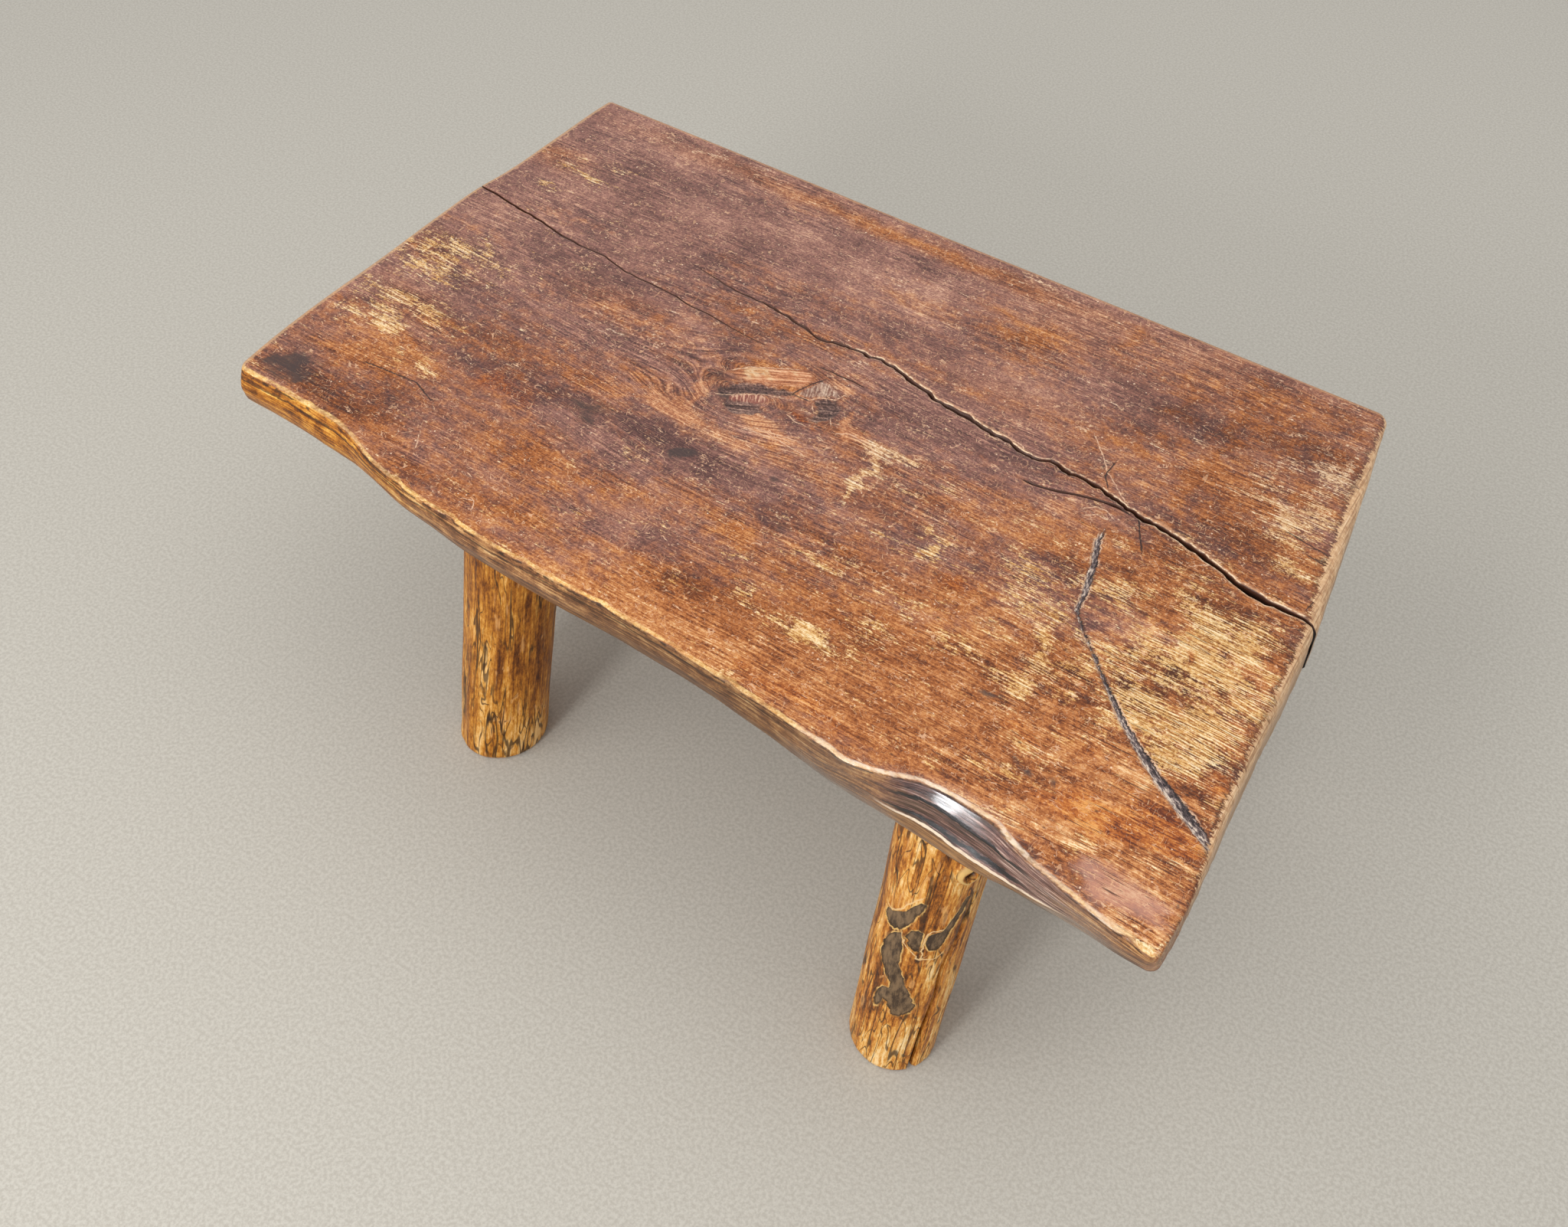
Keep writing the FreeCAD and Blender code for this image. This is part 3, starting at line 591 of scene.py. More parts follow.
def build_slab():
    """Slab as one skin: the top with its open splits, the walls and the underside."""
    across_count, along_count = len(rows), len(columns)
    u, r = np.meshgrid(columns, np.arange(across_count))
    row = rows[r]
    x, y = place_on_slab(u, row, 0.0)
    kind, extra = row[..., 0], row[..., 3]
    deep = top_relief(x, y)
    splits = ((10, main_split(x), 0.9, 1.6), (11, side_split(x), 0.5, 1.3))
    for _, (middle, half, _), lip_drop, lip_reach in splits:
        beyond = np.maximum(np.abs(y - middle) - half, 0)
        deep = deep + lip_drop * np.exp(-(beyond / lip_reach) ** 2) * ease(half, 0.1, 0.5)
    for number, (_, _, bottom), _, _ in splits:
        deep = np.where(kind == number, np.maximum(deep, extra * bottom), deep)
    top = np.arange(across_count * along_count).reshape(across_count, along_count)
    points = [np.stack([x, y, deep], -1).reshape(-1, 3)]
    faces = np.stack([top[:-1, :-1], top[1:, :-1], top[1:, 1:], top[:-1, 1:]], -1).reshape(-1, 4).tolist()

    # Walls: rings down from the rim, which runs along the back, right end, front and left end
    last_row, last_column = across_count - 1, along_count - 1
    rim = np.array(round_trip(0, last_row, 0, last_column))
    rim_u, rim_row = columns[rim[:, 1]], rows[rim[:, 0]]
    rim_deep = deep[rim[:, 0], rim[:, 1]]
    previous = top[rim[:, 0], rim[:, 1]]
    size = len(rim)
    after = np.roll(np.arange(size), -1)
    right_end_wear, other_wear = 11.0, 3.0
    worn = np.where(rim[:, 1] == last_column, right_end_wear, other_wear)
    worn = np.convolve(np.concatenate([worn[-12:], worn, worn[:12]]), np.ones(25) / 25, "valid")
    depths = [worn * share for share in (0.08, 0.24, 0.5, 0.8, 1.15)]
    depths += [depths[-1] + (16.5 - depths[-1]) * share for share in (0.12, 0.26, 0.42, 0.60, 0.79)]
    depths += [np.full(size, d) for d in (16.5, 20.5, 25, 29, 32.5, 36, 40, 45, 50, 54.5, 57.6, 59.3, 60)]
    wall_start = across_count * along_count
    for number, level in enumerate(depths):
        d = rim_deep + (thickness - rim_deep) * level / thickness
        wx, wy = place_on_slab(rim_u, rim_row, d)
        points.append(np.stack([wx, wy, d], -1))
        current = wall_start + number * size + np.arange(size)
        faces += np.stack([previous, previous[after], current[after], current], -1).tolist()
        previous = current

    # Underside: a coarser grid whose outer cells take in every point of the last ring
    under_rows, under_columns = coarse_steps(last_row, 5), coarse_steps(last_column, 6)
    place = {tuple(k): int(v) for k, v in zip(rim.tolist(), previous)}
    next_index = wall_start + len(depths) * size
    inner = [(n, c) for n in under_rows for c in under_columns if (n, c) not in place]
    place.update({k: next_index + n for n, k in enumerate(inner)})
    inner = np.array(inner)
    ux, uy = place_on_slab(columns[inner[:, 1]], rows[inner[:, 0]], thickness)
    points.append(np.stack([ux, uy, np.full(len(ux), thickness)], -1))
    for n0, n1 in zip(under_rows, under_rows[1:]):
        for c0, c1 in zip(under_columns, under_columns[1:]):
            faces.append([place[k] for k in round_trip(n0, n1, c0, c1) if k in place])

    x, y, d = np.concatenate(points).T
    on_top = np.arange(len(d)) < wall_start
    places = np.stack([corner_x + x, corner_y - y, table_height - d], -1) * MM
    return mesh_piece("slab", places, faces, slab_fields(x, y, d, on_top))


# Legs: radius of the section at ten headings, as a share of its mean
section_foot = (1.0, 1.03, 1.02, 0.97, 0.96, 0.99, 1.02, 1.03, 0.99, 0.98)
section_top = (1.03, 1.0, 0.96, 0.98, 1.03, 1.04, 0.99, 0.95, 0.98, 1.02)
# Joint on the underside as (along, across) on the slab, lean from foot to joint per unit
# of height, radii at foot and shoulder, turn of the section in degrees, and how cracked
# the foot is, by how much less the top, and between which heights
leg_table = {
    "front_left": ((276.11, 534.85), (0.0391, 0.1807), 51.5, 52.0, 20.0, (0.62, 0.35, 130, 190)),
    "front_right": ((850.43, 618.31), (0.0021, 0.1588), 47.0, 49.5, 95.0, (0.45, 0.0, 0, 1)),
    "rear_left": ((225.0, 100.0), (0.0349, -0.1494), 48.85, 52.0, 160.0, (0.7, 0.4, 120, 260)),
    "rear_right": ((835.0, 98.0), (-0.0349, -0.1494), 49.85, 53.5, 250.0, (0.7, 0.4, 120, 260))}
leg_height = 380.0
tenon_radius, tenon_length = 23.0, 44.0
foot_bevel, shoulder_bevel = 6.0, 4.0
# Marks on the front right leg, as (heading in degrees, height in millimetres), and the
# width of its drying check by height
bark_patches = (
    ((-104, 210), (-96, 220), (-89, 227), (-85, 217), (-83, 198), (-83, 179), (-74, 162), (-64, 142),
     (-51, 118), (-54, 109), (-63, 101), (-72, 97), (-78, 103), (-83, 115), (-91, 115), (-92, 103),
     (-97, 95), (-101, 100), (-99, 121), (-94, 133), (-86, 138), (-86, 148), (-96, 157), (-103, 168),
     (-109, 181), (-108, 195)),
    ((-119, 231), (-112, 225), (-103, 222), (-95, 226), (-87, 236), (-80, 250), (-75, 264), (-71, 279),
     (-77, 280), (-85, 268), (-92, 257), (-100, 250), (-108, 242), (-116, 239)),
    ((-84, 224), (-79, 236), (-71, 240), (-66, 237), (-66, 221), (-64, 205), (-69, 207), (-77, 214)),
    ((-61, 232), (-55, 239), (-47, 241), (-41, 254), (-35, 270), (-30, 286), (-25, 287), (-27, 270),
     (-32, 252), (-37, 238), (-40, 222), (-46, 212), (-56, 211), (-61, 220)))
rim_lines = (
    ((-118, 246), (-111, 243), (-102, 250), (-95, 259), (-90, 270), (-84, 278), (-77, 287)),
    ((-88, 226), (-82, 215), (-74, 208), (-66, 197), (-61, 196), (-53, 199), (-45, 199), (-37, 206)),
    ((-61, 198), (-63, 222), (-62, 235), (-56, 243), (-47, 245)))
check_course = (
    (-36, 0), (-34, 42), (-33, 73), (-31, 103), (-30, 132), (-32, 165), (-31, 184), (-26, 208), (-22, 227),
    (-21, 247), (-20, 264), (-18, 290), (-18, 380))
check_width = ((0, 4.6), (60, 4.2), (180, 3.4), (240, 3.0), (268, 1.8), (290, 0.0), (380, 0.0))
check_middle, check_depth = -28.0, 11.0
knot_heading, knot_height = -40.0, 332.0
arc_unit = math.radians(50.5)      # millimetres round the log to a degree


def lobes(turn, heading, rise):
    """Radius of the section at a heading, as a share of its mean."""
    step = 360.0 / len(section_foot)
    place = ((heading - turn) / step) % len(section_foot)
    foot, top = ([(n, row[n % len(row)]) for n in range(-2, len(row) + 3)]
                 for row in (section_foot, section_top))
    return curve(foot, place) * (1 - rise) + curve(top, place) * rise


def inside_gap(outline, x, y):
    """Distance from a closed outline, negative inside."""
    _, d, _ = beside(outline + outline[:1], x, y)
    inside = np.zeros(np.shape(x), bool)
    for (x0, y0), (x1, y1) in zip(outline, outline[1:] + outline[:1]):
        crosses = (y0 > y) != (y1 > y)
        reach = x0 + (y - y0) * (x1 - x0) / ((y1 - y0) or 1e-9)
        inside ^= crosses & (x < reach)
    return np.where(inside, -d, d)


def check_heading(z):
    """Heading of the drying check at a height."""
    return curve([(height, heading) for heading, height in check_course], z)


def marks_on_log(heading, z, mean):
    """Bark, its rims, drying check and knot: their change of radius and their fields."""
    arc = np.radians(heading) * mean
    sway = 1.2 * noise(arc / 5, z / 5, 0, 91)
    place = arc + sway, z + sway

    def on_log(line):
        return tuple((a * arc_unit, b) for a, b in line)

    gap = np.min([inside_gap(on_log(patch), *place) for patch in bark_patches], 0)
    swell = 0.6 * np.exp(-((gap - 1.2) / 1.1) ** 2) - 1.1 * (1 - ease(gap, -1.6, 0.6))
    rim, rim_near = nearest_line([on_log(line) for line in rim_lines], *place)
    swell = swell + 0.5 * (1 - ease(np.abs(rim), 0.5, 2.2)) * rim_near
    away = np.abs(heading - check_heading(z)) * arc_unit
    width = straight(check_width, z)
    cut = np.clip(1 - away / np.maximum(width, 0.01), 0, 1) * (width > 0.2)
    swell = swell - check_depth * cut ** 0.8
    knot = np.hypot((heading - knot_heading) * arc_unit, (z - knot_height) * 0.92)
    swell = swell + 8.5 * np.exp(-(knot / 12.5) ** 4) - 16 * np.exp(-(knot / 4.3) ** 4)
    swell = swell + 1.6 * np.exp(-((knot - 9.5) / 2.2) ** 2)
    check = np.clip(away - width * 0.5, -3, 9) + 9 * (width < 0.3)
    return swell, {"patch": np.clip(gap, -9, 9), "rim": rim, "rim_near": rim_near, "check": check,
                   "knot": np.clip(knot, 0, 30)}


def close_end(points, logs, faces, previous, rings, origin, down):
    """Joins rings, of which the last is one point, to the last ring of a log's side."""
    for ring in rings:
        start = sum(map(len, points))
        current = start + np.arange(len(ring))
        corners = [previous, current, np.roll(current, -1), np.roll(previous, -1)]
        if len(ring) == 1:
            corners = [previous, np.full(len(previous), start), np.roll(previous, -1)]
        if not down:
            corners = corners[:1] + corners[:0:-1]
        faces += np.stack(corners, -1).tolist()
        points.append(ring)
        logs.append(ring - origin)
        previous = current


def build_leg(name, seed):
    """Log with its creases and marks, and its tenon on top."""
    (joint_along, joint_across), lean, foot_radius, top_radius, turn, cracked = leg_table[name]
    joint = np.array([corner_x + joint_along, corner_y - joint_across, leg_height])
    headings = np.linspace(-180, 180, 169)[:-1] + 2.0
    heights = np.concatenate([[0, 0.5, 1.5, 3, 5], np.linspace(7.2, 374.5, 150),
                              [376.2, 377.8, 379.1, 379.8, 380]])
    heading, z = np.meshgrid(headings, heights)
    if name == "front_right":
        share = np.exp(-((heading - check_middle) / 26) ** 2)
        heading = heading + (check_heading(z) - check_middle) * share
    rise = z / leg_height
    mean = foot_radius + (top_radius - foot_radius) * rise
    swell = curve(((0, 0), (0.3, 0.004), (0.6, -0.006), (0.84, 0.012), (1, 0)), rise)
    out_x, out_y = np.cos(np.radians(heading)), np.sin(np.radians(heading))
    cx, cy = out_x * 60, out_y * 60
    ripple = 0.8 * noise(cx / 13, cy / 13, z / 150, seed) + 0.5 * noise(cx / 5, cy / 5, z / 70, seed + 1)
    billow = 1.3 * noise(cx / 40, cy / 40, z / 80, seed + 2)
    ends = ease(z, 0, 20) * (1 - ease(z, 362, 378))
    sway = 0.25 * noise(cx / 9, cy / 9, z / 16, seed + 3)
    crease = np.abs(noise(cx / 6.5 + sway, cy / 6.5, z / 42, seed + 4))
    most, less, low, high = cracked
    fissure = (1 - ease(crease, 0.0, 0.16)) * ease(noise(cx / 12, cy / 12, z / 30, seed + 5), -0.25, 0.35)
    fissure = fissure * (most - less * ease(z, low, high)) * ends
    radius = mean * lobes(turn, heading, rise) * (1 + swell) - 1.3 * fissure
    radius = radius + (ripple - 0.5) * (0.35 + 0.65 * ends) + billow * ends
    radius = radius - pull(z, foot_bevel) - pull(leg_height - z, shoulder_bevel)
    far = {"patch": 9.0, "rim": 9.0, "rim_near": 0.0, "check": 9.0, "knot": 30.0}
    fields = {field: np.full(z.shape, value) for field, value in far.items()}
    if name == "front_right":
        change, fields = marks_on_log(heading, z, mean)
        radius = radius + change
    fields["fissure"] = fissure
    centre = joint[:2] + (z - leg_height)[..., None] * lean
    side = np.stack([centre[..., 0] + radius * out_x, centre[..., 1] + radius * out_y, z], -1)
    index = np.arange(z.size).reshape(z.shape)
    after = np.roll(index, -1, 1)
    faces = np.stack([index[:-1], after[:-1], after[1:], index[1:]], -1).reshape(-1, 4).tolist()
    points = [side.reshape(-1, 3)]
    foot = np.append(centre[0, 0], 0.0)
    logs = [points[0] - np.stack([centre[..., 0], centre[..., 1], 0 * z], -1).reshape(-1, 3)]
    rings = [foot + (side[0] - foot) * share for share in (0.85, 0.6, 0.3)] + [foot[None]]
    close_end(points, logs, faces, index[0], rings, foot, True)

    # Shoulder and tenon, whose rings start where the log's own rings start
    axis = np.array(lean + (1.0,))
    axis /= np.linalg.norm(axis)
    across = np.cross(axis, (0, 1, 0))
    across /= np.linalg.norm(across)
    along = np.cross(axis, across)
    angles = np.radians(heading[-1])
    circle = tenon_radius * (np.outer(np.cos(angles), np.cross(along, axis))
                             + np.outer(np.sin(angles), -np.cross(across, axis)))
    flat = circle - np.outer(circle[:, 2] / axis[2], axis)
    order = np.argsort((np.arctan2(flat[:, 1], flat[:, 0]) - angles[0] + 1e-9) % (2 * math.pi))
    circle, flat = circle[order], flat[order]
    tip = joint + axis * tenon_length
    rings = [joint + flat, joint + circle + axis * (tenon_length - 1.2), tip + circle * 0.95, tip[None]]
    close_end(points, logs, faces, index[-1], rings, joint * (1, 1, 0), False)

    points = np.concatenate(points)
    ends_count = len(points) - z.size
    fields = {k: np.concatenate([v.ravel(), np.full(ends_count, far.get(k, 0.0))]) for k, v in fields.items()}
    fields["log"] = np.concatenate(logs) * MM
    return mesh_piece("log_" + name, points * MM, faces, fields)


# Finishes
def tone(r, g, b):
    """Colour as it looks on screen, 0 to 255, as the shader takes it."""
    def linear(v):
        return v / 12.92 if v <= 10 / 255 else ((v + 0.055) / 1.055) ** 2.4
    return linear(r / 255), linear(g / 255), linear(b / 255), 1.0


class Value:
    """A number that a material works out, added and multiplied like a plain one."""

    def __init__(self, finish, socket):
        self.finish, self.socket = finish, socket

    def __add__(self, other):
        return self.finish.math("ADD", self, other)

    def __sub__(self, other):
        return self.finish.math("SUBTRACT", self, other)

    def __rsub__(self, other):
        return self.finish.math("SUBTRACT", other, self)

    def __mul__(self, other):
        return self.finish.math("MULTIPLY", self, other)

    def __abs__(self):
        return self.finish.math("ABSOLUTE", self)

    __radd__, __rmul__ = __add__, __mul__


class Finish:
    """A material under construction, whose colour is painted in layers."""

    def __init__(self, name):
        self.material = bpy.data.materials.new(name)
        self.material.use_nodes = True
        self.nodes = self.material.node_tree.nodes
        self.shader = self.nodes["Principled BSDF"]
        self.colour = None

    def feed(self, socket, value):
        """Links a value to a socket, or sets the socket to a number or a screen colour."""
        if isinstance(value, Value):
            self.material.node_tree.links.new(value.socket, socket)
        else:
            socket.default_value = tone(*value) if socket.type == "RGBA" else value

    def put(self, kind, inputs, out=0, **settings):
        """Adds a node and gives the value of one of its outputs."""
        node = self.nodes.new(kind)
        for key, value in settings.items():
            setattr(node, key, value)
        for key, value in inputs.items():
            self.feed(node.inputs[key], value)
        return Value(self, node.outputs[out])

    def field(self, name, out="Fac"):
        """What the mesh holds at each point under a name."""
        return self.put("ShaderNodeAttribute", {}, out, attribute_name=name)

    def math(self, operation, *values):
        """Result of one step of arithmetic."""
        return self.put("ShaderNodeMath", dict(enumerate(values)), operation=operation)

    def most(self, a, b):
        return self.math("MAXIMUM", a, b)

    def between(self, value, low, high, start=0, end=1):
        """Smooth step from start to end as the value goes from low to high."""
        return self.put("ShaderNodeMapRange", {0: value, 1: low, 2: high, 3: start, 4: end},
                        interpolation_type="SMOOTHSTEP")

    def mixed(self, share, first, second):
        """First value where the share is 0, second value where it is 1."""
        return self.put("ShaderNodeMapRange", {0: share, 3: first, 4: second})

    def near_zero(self, value, half, soft):
        """1 where a signed distance is within a line's half width."""
        return self.between(abs(value), half, half + soft, 1, 0)

    def join(self, x, y, z):
        """Place made of three numbers."""
        return self.put("ShaderNodeCombineXYZ", {0: x, 1: y, 2: z})

    def split(self, place):
        """The three numbers of a place."""
        node = self.put("ShaderNodeSeparateXYZ", {0: place}).socket.node
        return [Value(self, output) for output in node.outputs]

    def spread(self, place, stretch, shift=(0, 0, 0), turn=0):
        """Place stretched and shifted, or turned by some degrees before it is stretched."""
        if turn:
            return self.put("ShaderNodeMapping", {
                "Vector": place, "Rotation": (0, 0, math.radians(turn)),
                "Scale": [1 / v for v in stretch]}, vector_type="TEXTURE")
        return self.put("ShaderNodeMapping", {"Vector": place, "Scale": stretch, "Location": shift})

    def cloud(self, place, stretch, detail, rough, warp=0, shift=(0, 0, 0), turn=0):
        """Noise from 0 to 1, with so many turns to the metre along each axis."""
        return self.put("ShaderNodeTexNoise", {
            "Vector": self.spread(place, stretch, shift, turn), "Scale": 1, "Detail": detail,
            "Roughness": rough, "Distortion": warp})

    def cells(self, place):
        """Distance from the nearest of scattered points, and that point's chance, 0 to 1."""
        node = self.put("ShaderNodeTexVoronoi", {"Vector": place, "Scale": 1}).socket.node
        chance = self.put("ShaderNodeSeparateColor", {0: Value(self, node.outputs["Color"])})
        return Value(self, node.outputs["Distance"]), chance

    def blend(self, share, first, second):
        """First colour where the share is 0, second colour where it is 1."""
        return self.put("ShaderNodeMix", {0: share, 6: first, 7: second}, 2, data_type="RGBA")

    def paint(self, share, colour):
        """Covers a share of the colour so far."""
        self.colour = self.blend(share, self.colour, colour)

    def ramp(self, value, stops):
        """Colour for a value, between stops of a place and a screen colour."""
        node = self.nodes.new("ShaderNodeValToRGB")
        elements = node.color_ramp.elements
        while len(elements) < len(stops):
            elements.new(0.5)
        for element, (place, *colour) in zip(elements, stops):
            element.position = place
            element.color = tone(*colour)
        self.feed(node.inputs[0], value)
        return Value(self, node.outputs[0])

    def finish(self, rough, height, strength, distance):
        """Gives the shader its colour, roughness and bump."""
        bump = self.put("ShaderNodeBump", {"Strength": strength, "Distance": distance, "Height": height})
        for name, value in (("Base Color", self.colour), ("Roughness", rough), ("Normal", bump)):
            self.feed(self.shader.inputs[name], value)
        return self.material


cool_stops = (
    (0.16, 74, 46, 42), (0.34, 108, 71, 62), (0.46, 132, 89, 77), (0.56, 152, 105, 90),
    (0.7, 186, 137, 114), (0.86, 224, 184, 156))
warm_stops = (
    (0.16, 72, 32, 10), (0.34, 118, 60, 22), (0.46, 155, 88, 40), (0.56, 179, 110, 58), (0.7, 206, 143, 86),
    (0.86, 234, 190, 138))
cool_bare = ((0.25, 150, 104, 78), (0.45, 198, 152, 116), (0.62, 226, 190, 154), (0.80, 244, 220, 190))
warm_bare = ((0.25, 156, 96, 40), (0.45, 208, 154, 84), (0.62, 234, 194, 130), (0.80, 248, 226, 182))

# Small marks: turn from the grain in degrees, cells per metre along, across and down,
# share of the cells that hold one, colour and strength
scratch_looks = (
    (0, (34, 300, 200), 0.20, (226, 180, 140), 0.75),
    (14, (26, 260, 200), 0.10, (232, 190, 152), 0.8),
    (-38, (40, 260, 200), 0.07, (228, 184, 142), 0.7),
    (78, (40, 300, 200), 0.06, (226, 182, 136), 0.6),
    (0, (44, 330, 200), 0.20, (62, 34, 28), 0.65),
    (0, (130, 150, 150), 0.15, (238, 204, 172), 0.85))


def slab_ground(f):
    """Base colour in two tones, by how worn or dark each spot is."""
    f.board = f.field("board", "Vector")
    flow = f.field("flow")
    f.along, f.across, f.level = f.split(f.board)
    f.grain_place = f.join(f.along, flow, f.level)

    # Broad tone: purple-brown at the back and left, amber towards the front and right
    f.drift = f.along * 0.42 + f.across * 0.85
    f.patchy = f.cloud(f.board, (3.6, 13, 5), 5, 0.65)
    honey = f.field("honey")
    f.mottle = f.cloud(f.board, (60, 85, 60), 4, 0.66, shift=(3, 1, 0))
    warm = f.between(f.drift + f.patchy * 2 + f.mottle, 1.76, 2.44)
    warm = f.math("MINIMUM", warm + honey * 0.9, 1)

    # How worn or dark each spot is: blotches, grain lines, fibres and fine pitting
    blotch = f.cloud(f.board, (8, 13, 9), 5, 0.62, shift=(3, 1, 0))
    f.fine = f.cloud(f.grain_place, (14, 380, 200), 3, 0.6)
    f.fibre = f.cloud(f.grain_place, (70, 1100, 400), 2, 0.5)
    f.grit = f.cloud(f.board, (300, 430, 400), 3, 0.8)
    clear = f.cloud(f.board, (8, 13, 7), 2, 0.5, shift=(9, 4, 0))
    shown = f.between(clear, 0.38, 0.6, 0.35, 1)
    f.long_streak = f.cloud(f.grain_place, (24, 280, 100), 4, 0.72, shift=(0, 3, 0))
    f.granular = f.cloud(f.board, (130, 210, 100), 4, 0.75, shift=(0, 3, 0))
    streak = f.mixed(f.between(f.drift, 0.42, 0.66), f.granular, f.long_streak)
    calm = f.between(f.drift, 0.75, 0.35)
    figure = f.field("figure")
    sway = f.cloud(f.grain_place, (16, 60, 40), 2, 0.5)
    f.ridges = f.math("SINE", flow * 2300 + (sway - 0.5) * 30)
    f.ridges *= f.between(f.cloud(f.board, (14, 30, 20), 3, 0.6, shift=(6, 0, 0)), 0.42, 0.6, 0.2, 1)
    f.at_end = f.between(f.along, 0.8, 0.93) * f.between(f.across, 0.3, 0.4)
    f.value = 0.5 + (blotch - 0.5) * (0.62 + calm * 0.05 + f.at_end * 0.7)
    f.value += (f.mottle - 0.5) * (0.5 + f.at_end * 0.4) - 0.034
    f.smooth = f.field("smooth")
    f.value -= f.smooth * 0.015
    streaky = 0.86 - f.smooth * 0.42 + figure * 0.5
    f.value += (f.fine - 0.5) * shown * streaky
    f.value += (f.fibre - 0.5) * shown * 0.5
    f.value += f.ridges * (0.044 + figure * 0.055 + f.at_end * 0.02)
    f.pieces = f.cloud(f.board, (22, 36, 20), 3, 0.6, 0.4, shift=(4, 7, 0))
    f.value += (f.pieces - 0.5) * (0.14 + f.at_end * 0.4)
    f.value -= f.field("shade") * 0.055
    f.value += (f.grit - 0.5) * 0.88
    f.value += f.field("umber") * (-0.125 + (streak - 0.5) * 0.3)
    f.colour = f.blend(warm, f.ramp(f.value, cool_stops), f.ramp(f.value, warm_stops))


def slab_wear(f):
    """Bare wood where the varnish is rubbed through, and the stronger tints."""
    rubs = f.cloud(f.board, (85, 8, 60), 3, 0.6, 0.3, shift=(5, 2, 0))
    scuff = f.field("scuff")
    f.scraps = f.cloud(f.board, (26, 44, 30), 4, 0.6, 0.4, shift=(1, 6, 0))
    wear = (f.long_streak - 0.5) * 1.5 + (f.granular - 0.5) * 1.1
    wear += (rubs - 0.5) * 0.45
    wear += (f.scraps - 0.5) * 1.3
    wear += (f.grit - 0.5) * 0.9
    wear += f.ridges * (0.05 + f.at_end * 0.09 + scuff * 0.1)
    wear += (f.pieces - 0.5) * f.at_end * 1.3
    wear += scuff * 0.56 - f.smooth * 0.08
    f.worn = f.between(wear + f.drift * 0.1, 0.3, 0.6)
    bare = 0.5 + (f.fine - 0.5) * 1.5 + (f.grit - 0.5) * 1.3
    bare += f.ridges * (0.05 + f.at_end * 0.1)
    bare += (f.fibre - 0.5) * 0.8
    left_gold = f.between(f.along, 0.26, 0.14) * f.between(f.across, 0.05, 0.12, 0, 0.9)
    bare_colour = f.blend(f.most(f.between(f.drift, 0.42, 0.72), left_gold), f.ramp(bare, cool_bare),
                          f.ramp(bare, warm_bare))
    f.paint(f.worn * 0.85, bare_colour)
    lens = f.field("lens") + (f.scraps - 0.5) * 0.9 + (f.granular - 0.5) * 0.9
    lens_colour = f.ramp(bare, ((0.3, 150, 88, 58), (0.5, 196, 128, 84), (0.75, 232, 180, 132)))
    f.paint(f.between(lens, 0.3, 0.75, 0, 0.8), lens_colour)
    # Pink haze, which at the front right corner is a painted sheen of the varnish.
    rosy_and_sheen = f.field("rosy_and_sheen") + (f.scraps - 0.5) * 0.8 + (f.granular - 0.5) * 0.8
    f.paint(f.between(rosy_and_sheen, 0.25, 0.95, 0, 0.6), (192, 142, 124))
    ember = f.field("ember") + (f.scraps - 0.5) * 0.9 + (f.granular - 0.5) * 0.6
    ember_colour = f.ramp(f.value, ((0.28, 92, 36, 10), (0.44, 150, 74, 20), (0.56, 180, 98, 32),
                                    (0.74, 218, 146, 70)))
    f.paint(f.between(ember, 0.25, 0.8, 0, 0.85), ember_colour)
    grain_lines = f.cloud(f.grain_place, (5, 230, 60), 2, 0.5, shift=(2, 5, 0))
    lined = f.near_zero(grain_lines - 0.5, 0.004, 0.012) * f.between(f.pieces, 0.44, 0.54)
    lined *= 0.35 + f.at_end * 0.5
    f.paint(lined, (70, 36, 22))


def slab_scratches(f):
    """Small scratches, dents and flecks, and soot."""
    kept = f.cloud(f.board, (95, 95, 60), 1, 0.5)
    scratch = f.cloud(f.board, (70, 120, 90), 0, 0.4, 1.8, shift=(2, 8, 0))
    f.thin = f.near_zero(scratch - 0.5, 0.008, 0.022) * f.between(kept, 0.5, 0.57)
    f.paint(f.thin * 0.65, (222, 176, 138))
    cross = f.cloud(f.board, (130, 60, 90), 0, 0.4, 1.4, shift=(7, 2, 0))
    hair = f.near_zero(cross - 0.5, 0.006, 0.02) * f.between(kept, 0.48, 0.41)
    f.paint(hair * 0.55, (214, 166, 126))
    drawn = f.across + (f.mottle - 0.5) * 0.006
    dash_place = f.join(f.along, drawn, f.level)
    for turn, stretch, share, colour, strength in scratch_looks:
        gap, chance = f.cells(f.spread(dash_place, stretch, turn=turn))
        chance += (f.scraps - 0.5) * 0.5
        mark = f.between(gap, 0.07, 0.16, 1, 0) * f.between(chance, 1 - share, 1.03 - share)
        f.paint(mark * strength, colour)
    pit_gap, pit_chance = f.cells(f.spread(f.board, (70, 119, 70)))
    f.pit = f.between(pit_gap, 0.05, 0.2, 1, 0) * f.between(pit_chance, 0.84, 0.9)
    f.paint(f.pit * 0.7, (56, 34, 28))
    soot = f.between(f.field("soot") + (f.mottle - 0.5) * 2.2, 0.25, 0.95, 0, 0.85)
    f.paint(soot, (66, 52, 48))


